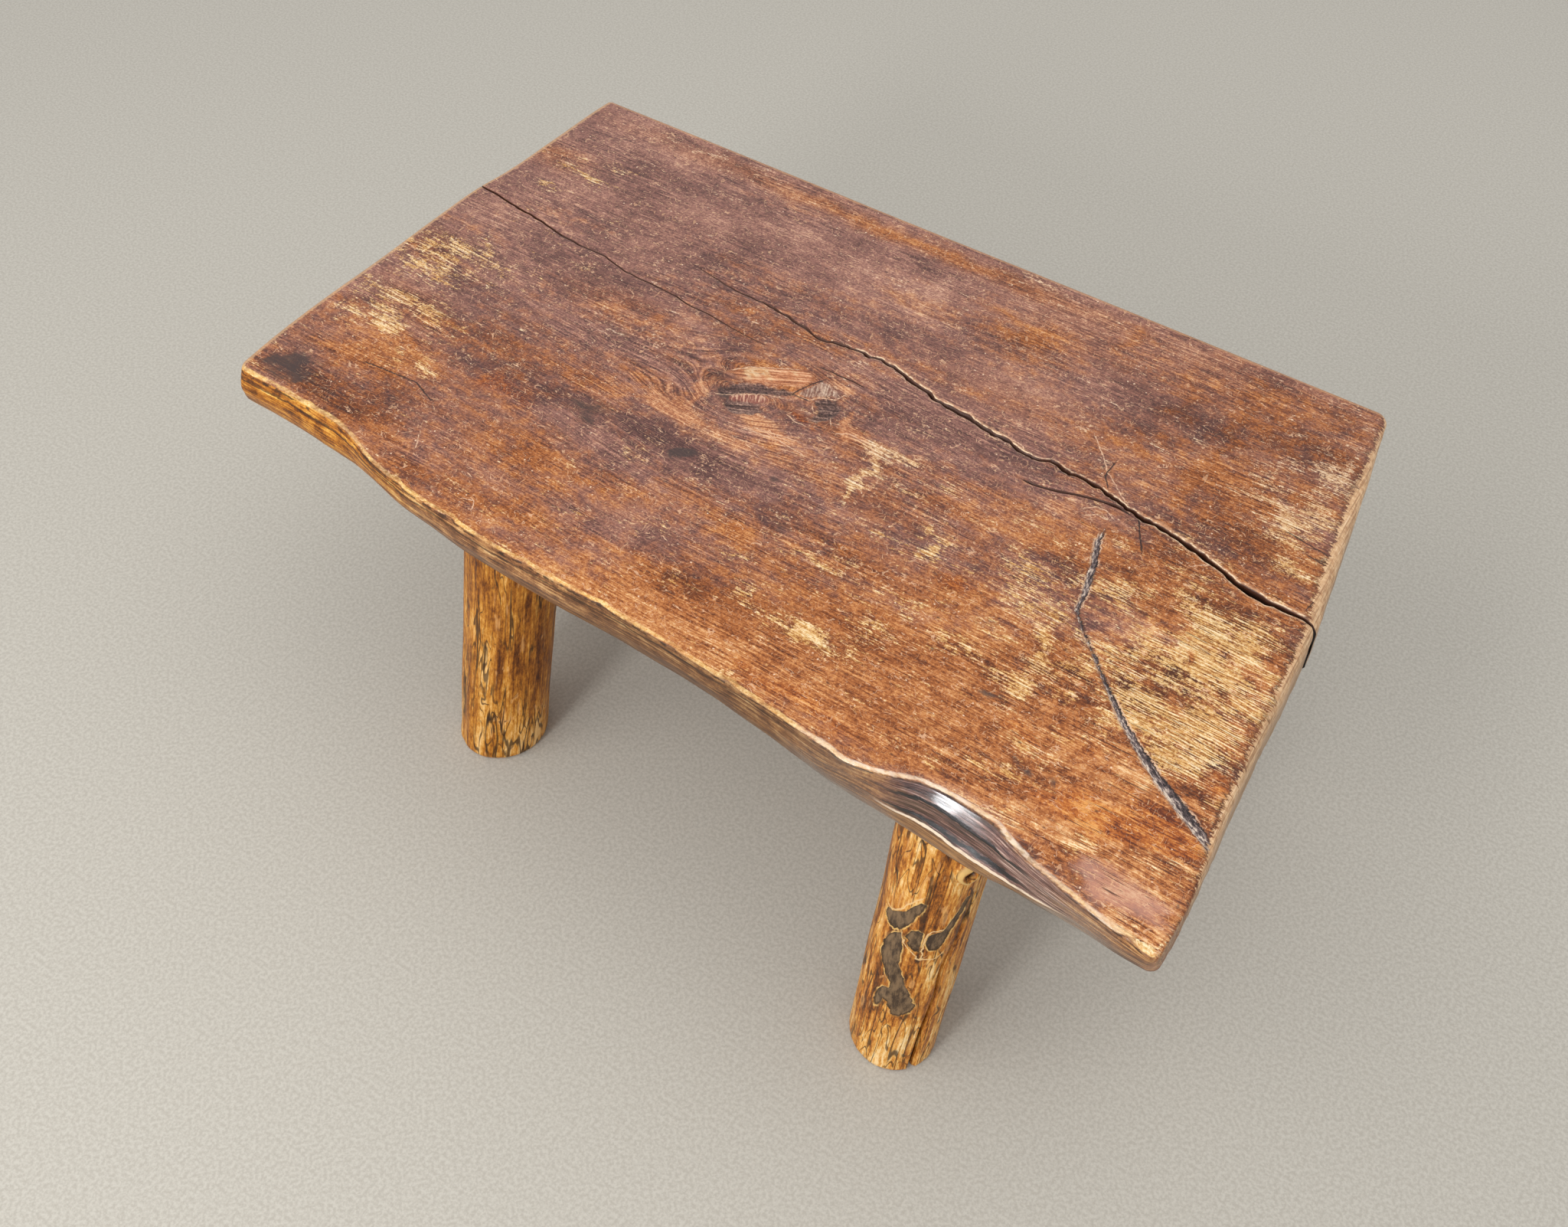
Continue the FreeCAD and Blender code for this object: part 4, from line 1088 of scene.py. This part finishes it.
def slab_lines(f):
    """Named lines, the knot, the bark seam and the lips of the splits."""
    wander = (f.cloud(f.board, (160, 160, 160), 2, 0.5) - 0.5) * 3
    broken = f.between(f.cloud(f.board, (330, 330, 160), 2, 0.6), 0.4, 0.56)
    f.pale = f.near_zero(f.field("pale_line") + wander, 0.3, 0.7) * f.field("pale_near")
    f.pale *= 0.35 + broken * 0.65
    f.dark = f.near_zero(f.field("dark_line") + wander, 0.4, 0.9) * f.field("dark_near")
    ragged = (f.cloud(f.board, (420, 420, 200), 3, 0.7) - 0.5) * 5
    tilted = f.cloud(f.board, (16, 300, 60), 3, 0.65, turn=-27)
    lens_gap = f.field("knot_lens") + ragged + (f.granular - 0.5) * 9
    lens_tone = f.ramp(tilted + (f.grit - 0.5) * 0.35,
                       ((0.38, 132, 76, 48), (0.46, 176, 108, 70), (0.53, 200, 134, 92),
                        (0.62, 230, 180, 140)))
    cream = f.field("cream") + (tilted - 0.5) * 2.4 + (f.granular - 0.5) * 0.8
    lens_tone = f.blend(f.between(cream, 0.35, 1.1, 0, 0.75), lens_tone,
                        f.blend(f.between(f.granular, 0.42, 0.58), (204, 152, 100), (232, 200, 156)))
    f.paint(f.between(lens_gap, -3.5, 2.5, 0.9, 0), lens_tone)
    ticks = f.cloud(f.board, (60, 420, 60), 2, 0.6, turn=60)
    ribs = f.blend(f.between(ticks, 0.47, 0.58), (134, 74, 62), (216, 168, 138))
    f.paint(f.between(f.field("knot_ribs") + ragged, -1, 1, 0.8, 0), ribs)
    steep = f.cloud(f.board, (40, 340, 60), 3, 0.65, turn=70)
    facet = f.ramp(steep + (f.grit - 0.5) * 0.4, ((0.38, 118, 82, 68), (0.47, 158, 126, 108),
                                                  (0.54, 188, 158, 136), (0.63, 222, 198, 172)))
    f.paint(f.between(f.field("knot_facet") + ragged, -2, 1.5, 0.75, 0), facet)
    # Knot hollows painted dark: their own dark wood, and painted shade in the recesses.
    groove = f.field("groove") + ragged + (f.mottle - 0.5) * 6
    hollow_tone_and_shade = f.ramp(tilted + (f.grit - 0.5) * 0.8, ((0.36, 42, 28, 24), (0.48, 82, 58, 52),
                                                  (0.58, 120, 90, 80), (0.7, 176, 142, 122)))
    f.paint(f.between(groove, -1.6, 2.6, 0.92, 0), hollow_tone_and_shade)
    f.paint(f.pale * 0.85, (224, 182, 148))
    f.paint(f.dark * 0.85, (34, 22, 20))
    seam_gap = f.field("seam") + wander + ragged
    seam_side = f.field("seam_side") + wander * 0.7
    bark_place = f.join(f.field("seam_run"), seam_side * 0.001, f.level)
    bark = f.cloud(bark_place, (150, 520, 100), 4, 0.75)
    bark -= seam_side * 0.022
    bark_colour = f.ramp(bark, ((0.38, 30, 22, 22), (0.46, 82, 66, 64), (0.54, 134, 116, 110),
                                (0.63, 224, 202, 180)))
    f.paint(f.between(seam_gap, 0.2, 2.4, 0.5, 0), (92, 54, 36))
    border = f.near_zero(seam_gap - 0.8, 0.35, 0.6) * f.between(f.scraps, 0.44, 0.56)
    f.paint(border * 0.7, (220, 182, 150))
    f.paint(f.between(seam_gap, -0.9, 0.2, 1, 0), bark_colour)
    inked = f.near_zero(seam_gap + 0.5, 0.25, 0.5) * f.between(seam_side, -0.3, 0.3)
    f.paint(inked * 0.8, (30, 20, 18))
    lip_noise = f.cloud(f.board, (200, 260, 200), 2, 0.6)
    lip_line = f.near_zero(f.field("split") - 1 + wander * 0.5, 0.45, 0.6)
    lip_line = lip_line * f.between(f.field("lip"), 0.2, 0.6) * f.between(lip_noise, 0.42, 0.56, 0.1, 1)
    lip = f.between(f.field("lip") + (lip_noise - 0.5) * 1.4, 0.3, 0.85)
    f.paint(lip * 0.45, (206, 156, 116))
    f.paint(lip_line * 0.9, (234, 204, 168))


def slab_rims(f):
    """Varnish chipped from the right end's rim, and the pale left and back rims."""
    f.jagged = f.cloud(f.board, (60, 330, 40), 4, 0.7)
    f.uneven = f.cloud(f.board, (22, 70, 30), 4, 0.7)
    f.chipped = f.field("right_gap") + (f.jagged - 0.5) * 22 + (f.uneven - 0.5) * 12
    f.chipped += (f.grit - 0.5) * 6
    f.chipped += f.between(f.across, 0.02, 0.12, 6, 0.5)
    f.chipped += f.between(f.across, 0.33, 0.45, 0, 3)
    end_grain = f.cloud(f.board, (200, 260, 120), 3, 0.6)
    f.end_colour = f.blend(f.between(end_grain, 0.34, 0.66), (192, 146, 104), (222, 182, 138))
    end_lines = f.cloud(f.board, (620, 16, 420), 3, 0.65)
    f.end_colour = f.blend(f.between(end_lines, 0.5, 0.62, 0, 0.7), f.end_colour, (150, 108, 74))
    f.end_colour = f.blend(f.between(end_lines, 0.44, 0.34, 0, 0.6), f.end_colour, (238, 208, 170))
    f.end_colour = f.blend(f.between(f.level, 0.012, 0.04, 0, 0.7), f.end_colour, (146, 112, 82))
    f.paint(f.between(f.chipped, 0, 9, 0.4, 0), (84, 44, 26))
    rim_cut = f.near_zero(f.chipped - 1.4, 0.5, 0.9) * f.between(f.mottle, 0.42, 0.54)
    f.paint(rim_cut * 0.7, (58, 32, 20))
    rim_noise = (f.jagged - 0.5) * 7
    left_rim = f.between(f.field("left_gap") + rim_noise, 0.6, 2.6, 1, 0)
    f.paint(left_rim * 0.6, (206, 164, 120))
    back_rim = f.between(f.field("back_gap") + rim_noise, 0.3, 1.8, 1, 0)
    f.paint(back_rim * 0.6, (190, 142, 100))


def slab_walls(f):
    """Sawn ends and back, the live front edge's layers and the chipped right end."""
    f.wall = f.field("wall")
    f.layers = f.cloud(f.board, (9, 9, 210), 5, 0.7, 0.25)
    hairs = f.cloud(f.board, (26, 26, 620), 3, 0.65, 0.2)
    wane_value = 0.5 + (f.layers - 0.5) * 1.25 + (f.mottle - 0.5) * 0.7
    wane_value += (hairs - 0.5) * 0.9
    wane_value += (f.grit - 0.5) * 0.4
    wane = f.ramp(wane_value, ((0.2, 52, 32, 22), (0.4, 108, 68, 40), (0.54, 150, 100, 60),
                               (0.68, 192, 142, 88), (0.85, 226, 186, 134)))
    amber = f.ramp(wane_value, ((0.2, 66, 32, 6), (0.38, 138, 76, 14), (0.52, 190, 118, 30),
                                (0.66, 222, 160, 62), (0.85, 244, 202, 120)))
    wane = f.blend(f.between(f.along, 0.16, 0.3, 0.9, 0), wane, amber)
    wane = f.blend(f.between(f.level, 0.02, 0.05, 0, 0.5), wane, (96, 64, 44))

    # The back shows long grain with saw marks, the left end growth rings with rays
    long_grain = f.cloud(f.board, (4, 9, 190), 5, 0.68, 0.15)
    saw_marks = f.cloud(f.board, (260, 9, 9), 2, 0.5)
    back_value = 0.5 + (long_grain - 0.5) * 1.3 + (saw_marks - 0.5) * 0.35
    section_place = f.join(0, f.across, f.level)
    from_pith = f.put("ShaderNodeVectorMath", {0: section_place, 1: (0, 0.29, 0.31)}, 1,
                      operation="DISTANCE")
    from_pith += (f.patchy - 0.5) * 0.03
    year = f.cloud(f.join(from_pith, 0, 0), (420, 420, 420), 3, 0.6)
    rays = f.cloud(section_place, (1, 520, 60), 3, 0.6)
    end_value = 0.5 + (year - 0.5) * 1.1 + (rays - 0.5) * 0.55
    at_left = f.between(f.field("left_gap"), 5, 2)
    sawn_value = f.mixed(at_left, back_value, end_value) + (f.mottle - 0.5) * 0.5 + (f.grit - 0.5) * 0.35
    sawn = f.ramp(sawn_value, ((0.25, 74, 42, 24), (0.42, 124, 78, 48), (0.54, 156, 104, 66),
                               (0.68, 186, 136, 92), (0.82, 212, 168, 124)))
    side = f.blend(f.field("front_side"), sawn, wane)
    f.brow = f.field("brow")
    f.at_front = f.field("front_rim")
    front_face = f.at_front * f.between(f.brow, 0.8, 2.2)
    f.wall = f.most(f.wall, front_face)
    side = f.blend(front_face, side, wane)
    at_right = f.between(f.field("right_gap"), 3, -1)
    plain_wall = f.wall * (1 - at_right * f.between(f.chipped, 0, 1))
    f.paint(plain_wall, side)
    # Painted shade over the middle of the front face.
    front_face_shade = front_face * f.between(f.along, 0.4, 0.52) * f.between(f.along, 0.82, 0.74)
    f.paint(front_face_shade * 0.4, (66, 46, 30))
    f.paint(f.between(f.chipped, -1, 0, 1, 0) * f.between(f.field("front_side"), 0.5, 0), f.end_colour)


def slab_live_edge(f):
    """Worn golden brow, the dark line under it and the varnished hollow, with painted shade in its scoop and
    creases and painted highlights along its crest and ridge.
    """
    shaken = f.brow + (f.uneven - 0.5) * 5 + (f.jagged - 0.5) * 2.5
    rubbed = f.between(f.cloud(f.board, (30, 30, 40), 3, 0.6), 0.42, 0.56, 0.35, 1)
    gold = f.between(shaken, -1.3, -0.4) * f.between(shaken, 1.9, 1.1) * f.at_front
    gold = gold * rubbed * f.between(f.along, 0.46, 0.56, 1, 0.75)
    line_break = f.between(f.cloud(f.board, (90, 90, 90), 3, 0.6), 0.44, 0.54)
    under_line = f.between(shaken, 2, 2.8) * f.between(shaken, 4.6, 3.6) * f.at_front
    f.paint(under_line * line_break * 0.85, (50, 32, 18))
    f.paint(gold * 0.9, f.blend(f.between(f.grit, 0.35, 0.65), (214, 158, 78), (246, 214, 150)))
    low_line = f.near_zero(f.level + (f.uneven - 0.5) * 0.012 - 0.009, 0.0006, 0.001)
    low_line = low_line * f.at_front * f.between(f.along, 0.74, 0.7)
    f.paint(low_line * 0.75, (54, 34, 18))
    f.hollow = f.between(f.along, 0.69, 0.76) * f.between(f.along, 1.06, 1)
    bowl = f.between(f.along, 0.785, 0.83) * f.between(f.along, 1.02, 0.96)
    f.varnish_runs = f.cloud(f.board, (22, 50, 700), 5, 0.75, 0.3)
    # Dark streaky varnish runs in the scoop under the crest, with painted shade that is darkest in the middle
    # of the bowl.
    hollow_runs_and_shade = f.between(shaken, 2, 4) * f.between(f.level, 0.0375, 0.0345) * bowl * f.at_front
    deeper_shade = f.between(f.along, 0.93, 0.88) * f.between(f.along, 0.8, 0.83)
    hollow_runs_and_shade_colour = f.ramp(f.varnish_runs - deeper_shade * 0.07,
                         ((0.34, 26, 16, 14), (0.45, 78, 50, 46), (0.54, 130, 92, 82),
                          (0.64, 206, 176, 160)))
    # Two thin dark lines in the creases of the hollow: painted shade.
    crevice_shade = f.level + (f.uneven - 0.5) * 0.014 - 0.0225
    crevice_shade = f.near_zero(abs(crevice_shade) - 0.0085, 0.0008, 0.0016)
    f.paint(hollow_runs_and_shade * 0.9, hollow_runs_and_shade_colour)
    f.paint(crevice_shade * bowl * f.at_front * f.between(f.along, 0.97, 0.93), (24, 16, 14))
    low_roll = f.between(f.level, 0.035, 0.038) * bowl * f.at_front
    f.paint(low_roll * 0.6, f.blend(f.between(f.varnish_runs, 0.42, 0.6), (86, 54, 26), (166, 118, 62)))
    # Cream line along the crest of the hollow: worn pale wood and a painted highlight.
    crest_wear_and_highlight = f.between(shaken, -2.6, -1) * f.between(shaken, 2.1, 0.7) * f.hollow * f.at_front
    crest_wear_and_highlight *= f.between(f.granular, 0.36, 0.56, 0.35, 1)
    crest_wear_and_highlight *= f.between(f.cloud(f.board, (24, 24, 24), 2, 0.5), 0.4, 0.56, 0.45, 1)
    f.paint(crest_wear_and_highlight * 0.8, (238, 214, 190))
    chip_place = f.field("corner_chip") + (f.granular - 0.5) * 0.8 + (f.grit - 0.5) * 0.8
    f.paint(f.between(chip_place, 0.45, 0.7, 0, 0.9),
            f.blend(f.between(f.grit, 0.4, 0.6), (204, 156, 84), (246, 222, 176)))
    # Pale line along the ridge under the hollow: a painted highlight.
    second = f.near_zero(f.level + (f.uneven - 0.5) * 0.006 - 0.036, 0.0007, 0.001)
    f.paint(second * bowl * f.at_front * rubbed, (232, 208, 180))


def slab_depths(f):
    """Bare underside, and the inside of the splits painted dark as shade, darker with depth."""
    under = f.blend(f.between(f.fine, 0.35, 0.65), (120, 84, 56), (168, 126, 90))
    f.paint(f.between(f.level, 0.059, 0.0598), under)
    # Inside walls of the splits painted dark, darker with depth: painted shade.
    inside = f.between(f.field("split"), -0.1, 0.6, 1, 0)
    inside *= f.most(f.between(f.level, 0.03, 0.026), f.between(f.along, 0.5, 0.6))
    f.paint(inside, f.blend(f.between(f.level, 0.003, 0.011), (78, 46, 32), (26, 16, 12)))


def slab_finish():
    """Old varnish over two tones of wood, painted layer by layer."""
    f = Finish("varnished_slab")
    for layer in (slab_ground, slab_wear, slab_scratches, slab_lines, slab_rims,
                  slab_walls, slab_live_edge, slab_depths):
        layer(f)
    shine = f.between(f.cloud(f.board, (12, 30, 12), 3, 0.6), 0.3, 0.7, 0.34, 0.48)
    shine += f.worn * 0.14
    glossy = f.between(f.brow, -12, -3) * f.hollow * f.at_front
    shine -= glossy * 0.26
    shine = f.most(shine, 0.11)
    f.feed(f.shader.inputs["Coat Weight"], glossy * f.between(f.varnish_runs, 0.38, 0.52, 0.45, 1))
    f.shader.inputs["Coat Roughness"].default_value = 0.12
    height = f.fine * 0.5 + f.fibre * 0.25
    height += f.grit * 0.15
    height -= (f.thin + f.pit) * 0.2
    height -= (f.dark + f.pale) * 0.5
    height += f.layers * f.wall * 1.4
    height += f.varnish_runs * glossy * 1.2
    f.shader.inputs["Specular IOR Level"].default_value = 0.3
    return f.finish(shine, height, 0.55, 0.0006)


def leg_finish(name, stops, shift):
    """Peeled and varnished log, with what is left of its bark."""
    f = Finish("peeled_log_" + name)
    log = f.field("log", "Vector")
    _, _, rise = f.split(log)
    streaks = f.cloud(log, (75, 75, 7), 4, 0.65, 0.15, shift=shift)
    fibres = f.cloud(log, (330, 330, 16), 3, 0.6, shift=shift)
    patches = f.cloud(log, (30, 30, 10), 4, 0.65, shift=shift)
    grit = f.cloud(log, (330, 330, 130), 3, 0.75, shift=shift)
    crazing = f.cloud(log, (95, 95, 16), 1, 0.5, 0.8, shift=shift)
    crazed = f.near_zero(crazing - 0.5, 0.01, 0.022) * f.between(patches, 0.44, 0.56)
    value = 0.5 + (streaks - 0.5) * 0.8
    value += (fibres - 0.5) * 0.65
    value += (patches - 0.5) * 0.95
    value += (grit - 0.5) * 0.6
    cracks = f.cloud(log, (46, 46, 4), 2, 0.5, 0.3, shift=shift)
    cracked = f.near_zero(cracks - 0.5, 0.005, 0.012) * f.between(patches, 0.4, 0.52)
    value += f.between(rise, 0.1, 0, 0, 0.1)
    f.colour = f.ramp(value, stops)
    fissure = f.field("fissure")
    tick = f.cloud(log, (210, 210, 30), 2, 0.5, shift=shift)
    ticked = fissure + (tick - 0.5) * 1.2
    f.paint(f.between(ticked, 0.14, 0.4, 0, 0.5), (222, 166, 104))
    f.paint(f.between(ticked, 0.42, 0.8, 0, 0.78), (60, 34, 14))
    f.paint(crazed * 0.8, (58, 32, 12))
    f.paint(cracked * 0.85, (46, 24, 8))
    wander = (f.cloud(log, (240, 240, 160), 2, 0.5) - 0.5) * 3
    patch_gap = f.field("patch") + wander
    bark_noise = f.cloud(log, (190, 190, 60), 4, 0.7)
    bark = f.blend(f.between(bark_noise, 0.36, 0.64), (62, 45, 31), (124, 98, 70))
    curled = f.between(f.cloud(log, (60, 60, 50), 2, 0.5), 0.44, 0.56, 0.15, 1)
    f.paint(f.between(patch_gap, 0.5, 2.2, 1, 0) * curled * 0.9, (228, 182, 108))
    f.paint(f.between(patch_gap, -0.5, 0.3, 1, 0), bark)
    # Dark line just inside each bark patch's edge: painted shadow under its rim.
    f.paint(f.near_zero(patch_gap + 0.7, 0.35, 0.6) * 0.6, (46, 28, 10))
    rim = f.near_zero(f.field("rim") + wander, 0.35, 0.8) * f.field("rim_near")
    f.paint(rim * 0.9, (228, 188, 132))
    f.paint(f.between(f.field("check"), -0.4, 0.3, 0.95, 0), (34, 18, 8))
    knot = f.field("knot")
    ringed = f.near_zero(knot - 9.5, 1.3, 1.6)
    f.paint(ringed * 0.85, (222, 182, 112))
    f.paint(f.between(knot, 4, 6, 1, 0), (28, 18, 10))
    shine = f.between(streaks, 0.3, 0.7, 0.34, 0.5)
    height = fibres * 0.5 + streaks * 0.6
    height += bark_noise * f.between(patch_gap, 0, 1, 0.6, 0.1)
    f.shader.inputs["Specular IOR Level"].default_value = 0.3
    return f.finish(shine, height, 0.6, 0.0012)


def wedge_finish():
    """Riven wood, left bare."""
    f = Finish("riven_wedge")
    place = f.put("ShaderNodeTexCoord", {}, "Object")
    riven = f.cloud(place, (260, 260, 30), 4, 0.6)
    f.colour = f.blend(f.between(riven, 0.35, 0.65), (178, 138, 94), (214, 180, 134))
    shine = f.between(riven, 0.3, 0.7, 0.62, 0.75)
    return f.finish(shine, riven, 0.5, 0.0006)


def floor_finish():
    """Pale floor with a fine speckle."""
    f = Finish("pale_floor")
    place = f.put("ShaderNodeTexCoord", {}, "Object")
    speck = f.cloud(place, (260, 260, 260), 3, 0.7)
    colour = f.blend(f.between(speck, 0.35, 0.65), (174, 167, 155), (190, 184, 172))
    f.feed(f.shader.inputs["Base Color"], colour)
    f.shader.inputs["Roughness"].default_value = 0.9
    return f.material


def log_stops(*tones):
    """Stops of a log's colour ramp, from dark to light."""
    return [(place,) + tone for place, tone in zip((0.22, 0.36, 0.46, 0.56, 0.66, 0.80), tones)]


honey_log = log_stops((74, 32, 4), (124, 68, 12), (162, 98, 26), (190, 124, 40), (212, 152, 70),
                      (236, 188, 120))
straw_log = log_stops((66, 30, 4), (122, 66, 12), (172, 102, 32), (202, 134, 52), (226, 170, 90),
                      (244, 208, 150))
slab = build_slab()
slab.data.materials.append(slab_finish())
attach(slab, "root")
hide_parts("top_slab")
leg_looks = {"front_left": (honey_log, (0.0, 0.0, 0.0)), "front_right": (straw_log, (3.0, 5.0, 1.0)),
             "rear_left": (honey_log, (7.0, 2.0, 4.0)), "rear_right": (straw_log, (1.0, 8.0, 6.0))}
for number, (name, look) in enumerate(leg_looks.items()):
    leg = build_leg(name, 100 + 10 * number)
    leg.data.materials.append(leg_finish(name, *look))
    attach(leg, "root")
    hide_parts("leg_" + name)
wedge_look = wedge_finish()
for name in leg_looks:
    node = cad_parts["wedge_" + name]
    node.data.materials.clear()
    node.data.materials.append(wedge_look)

# Floor, light and camera, which stands where the photograph was taken
floor_half = 7.0
mesh = bpy.data.meshes.new("floor")
mesh.from_pydata([(-floor_half, -floor_half, 0), (floor_half, -floor_half, 0),
                  (floor_half, floor_half, 0), (-floor_half, floor_half, 0)], [], [(0, 1, 2, 3)])
floor = bpy.data.objects.new("floor", mesh)
floor.data.materials.append(floor_finish())
bpy.context.scene.collection.objects.link(floor)

world = bpy.data.worlds.new("studio")
bpy.context.scene.world = world
world.use_nodes = True
sky = world.node_tree.nodes["Background"]
sky.inputs["Color"].default_value = (0.93, 0.96, 1.0, 1.0)
sky.inputs["Strength"].default_value = 0.82


def soft_lamp(name, place, target, size, power, colour):
    """Square lamp, with its size in metres and its power in watts."""
    lamp = bpy.data.lights.new(name, "AREA")
    lamp.shape = "SQUARE"
    lamp.size = size
    lamp.energy = power
    lamp.color = colour
    piece = bpy.data.objects.new(name, lamp)
    piece.location = place
    piece.rotation_euler = (Vector(target) - Vector(place)).to_track_quat("-Z", "Y").to_euler()
    bpy.context.scene.collection.objects.link(piece)


soft_lamp("window", (-1.5, -1.9, 3.1), (0, 0, 0.3), 1.8, 24.0, (1.0, 0.98, 0.95))
soft_lamp("ceiling", (1.0, 0.5, 4.2), (0.3, 0, 0.3), 3.0, 32.0, (1.0, 0.99, 0.97))
soft_lamp("front_window", (-0.21, -2.92, 1.8), (0.35, -0.3, 0.43), 0.7, 44.0, (0.96, 0.98, 1.0))

view_from = np.array([0.6001, -1.0075, 1.5415])
facing = np.array([-0.52716, 0.84976])
pitch, roll = math.radians(50), math.radians(-2)
ahead = np.array([facing[0] * math.cos(pitch), facing[1] * math.cos(pitch), -math.sin(pitch)])
level_right = np.array([facing[1], -facing[0], 0.0])
below = np.cross(ahead, level_right)
right = math.cos(roll) * level_right + math.sin(roll) * below
below = -math.sin(roll) * level_right + math.cos(roll) * below
camera = bpy.data.objects.new("camera", bpy.data.cameras.new("camera"))
camera.data.lens = 36.0
camera.data.sensor_width = 36.0
camera.data.sensor_fit = "HORIZONTAL"
camera.matrix_world = Matrix([[right[n], -below[n], -ahead[n], view_from[n]] for n in range(3)]
                             + [[0, 0, 0, 1]])
bpy.context.scene.collection.objects.link(camera)
bpy.context.scene.camera = camera
bpy.context.scene.view_settings.view_transform = "Standard"

bpy.context.view_layer.update()
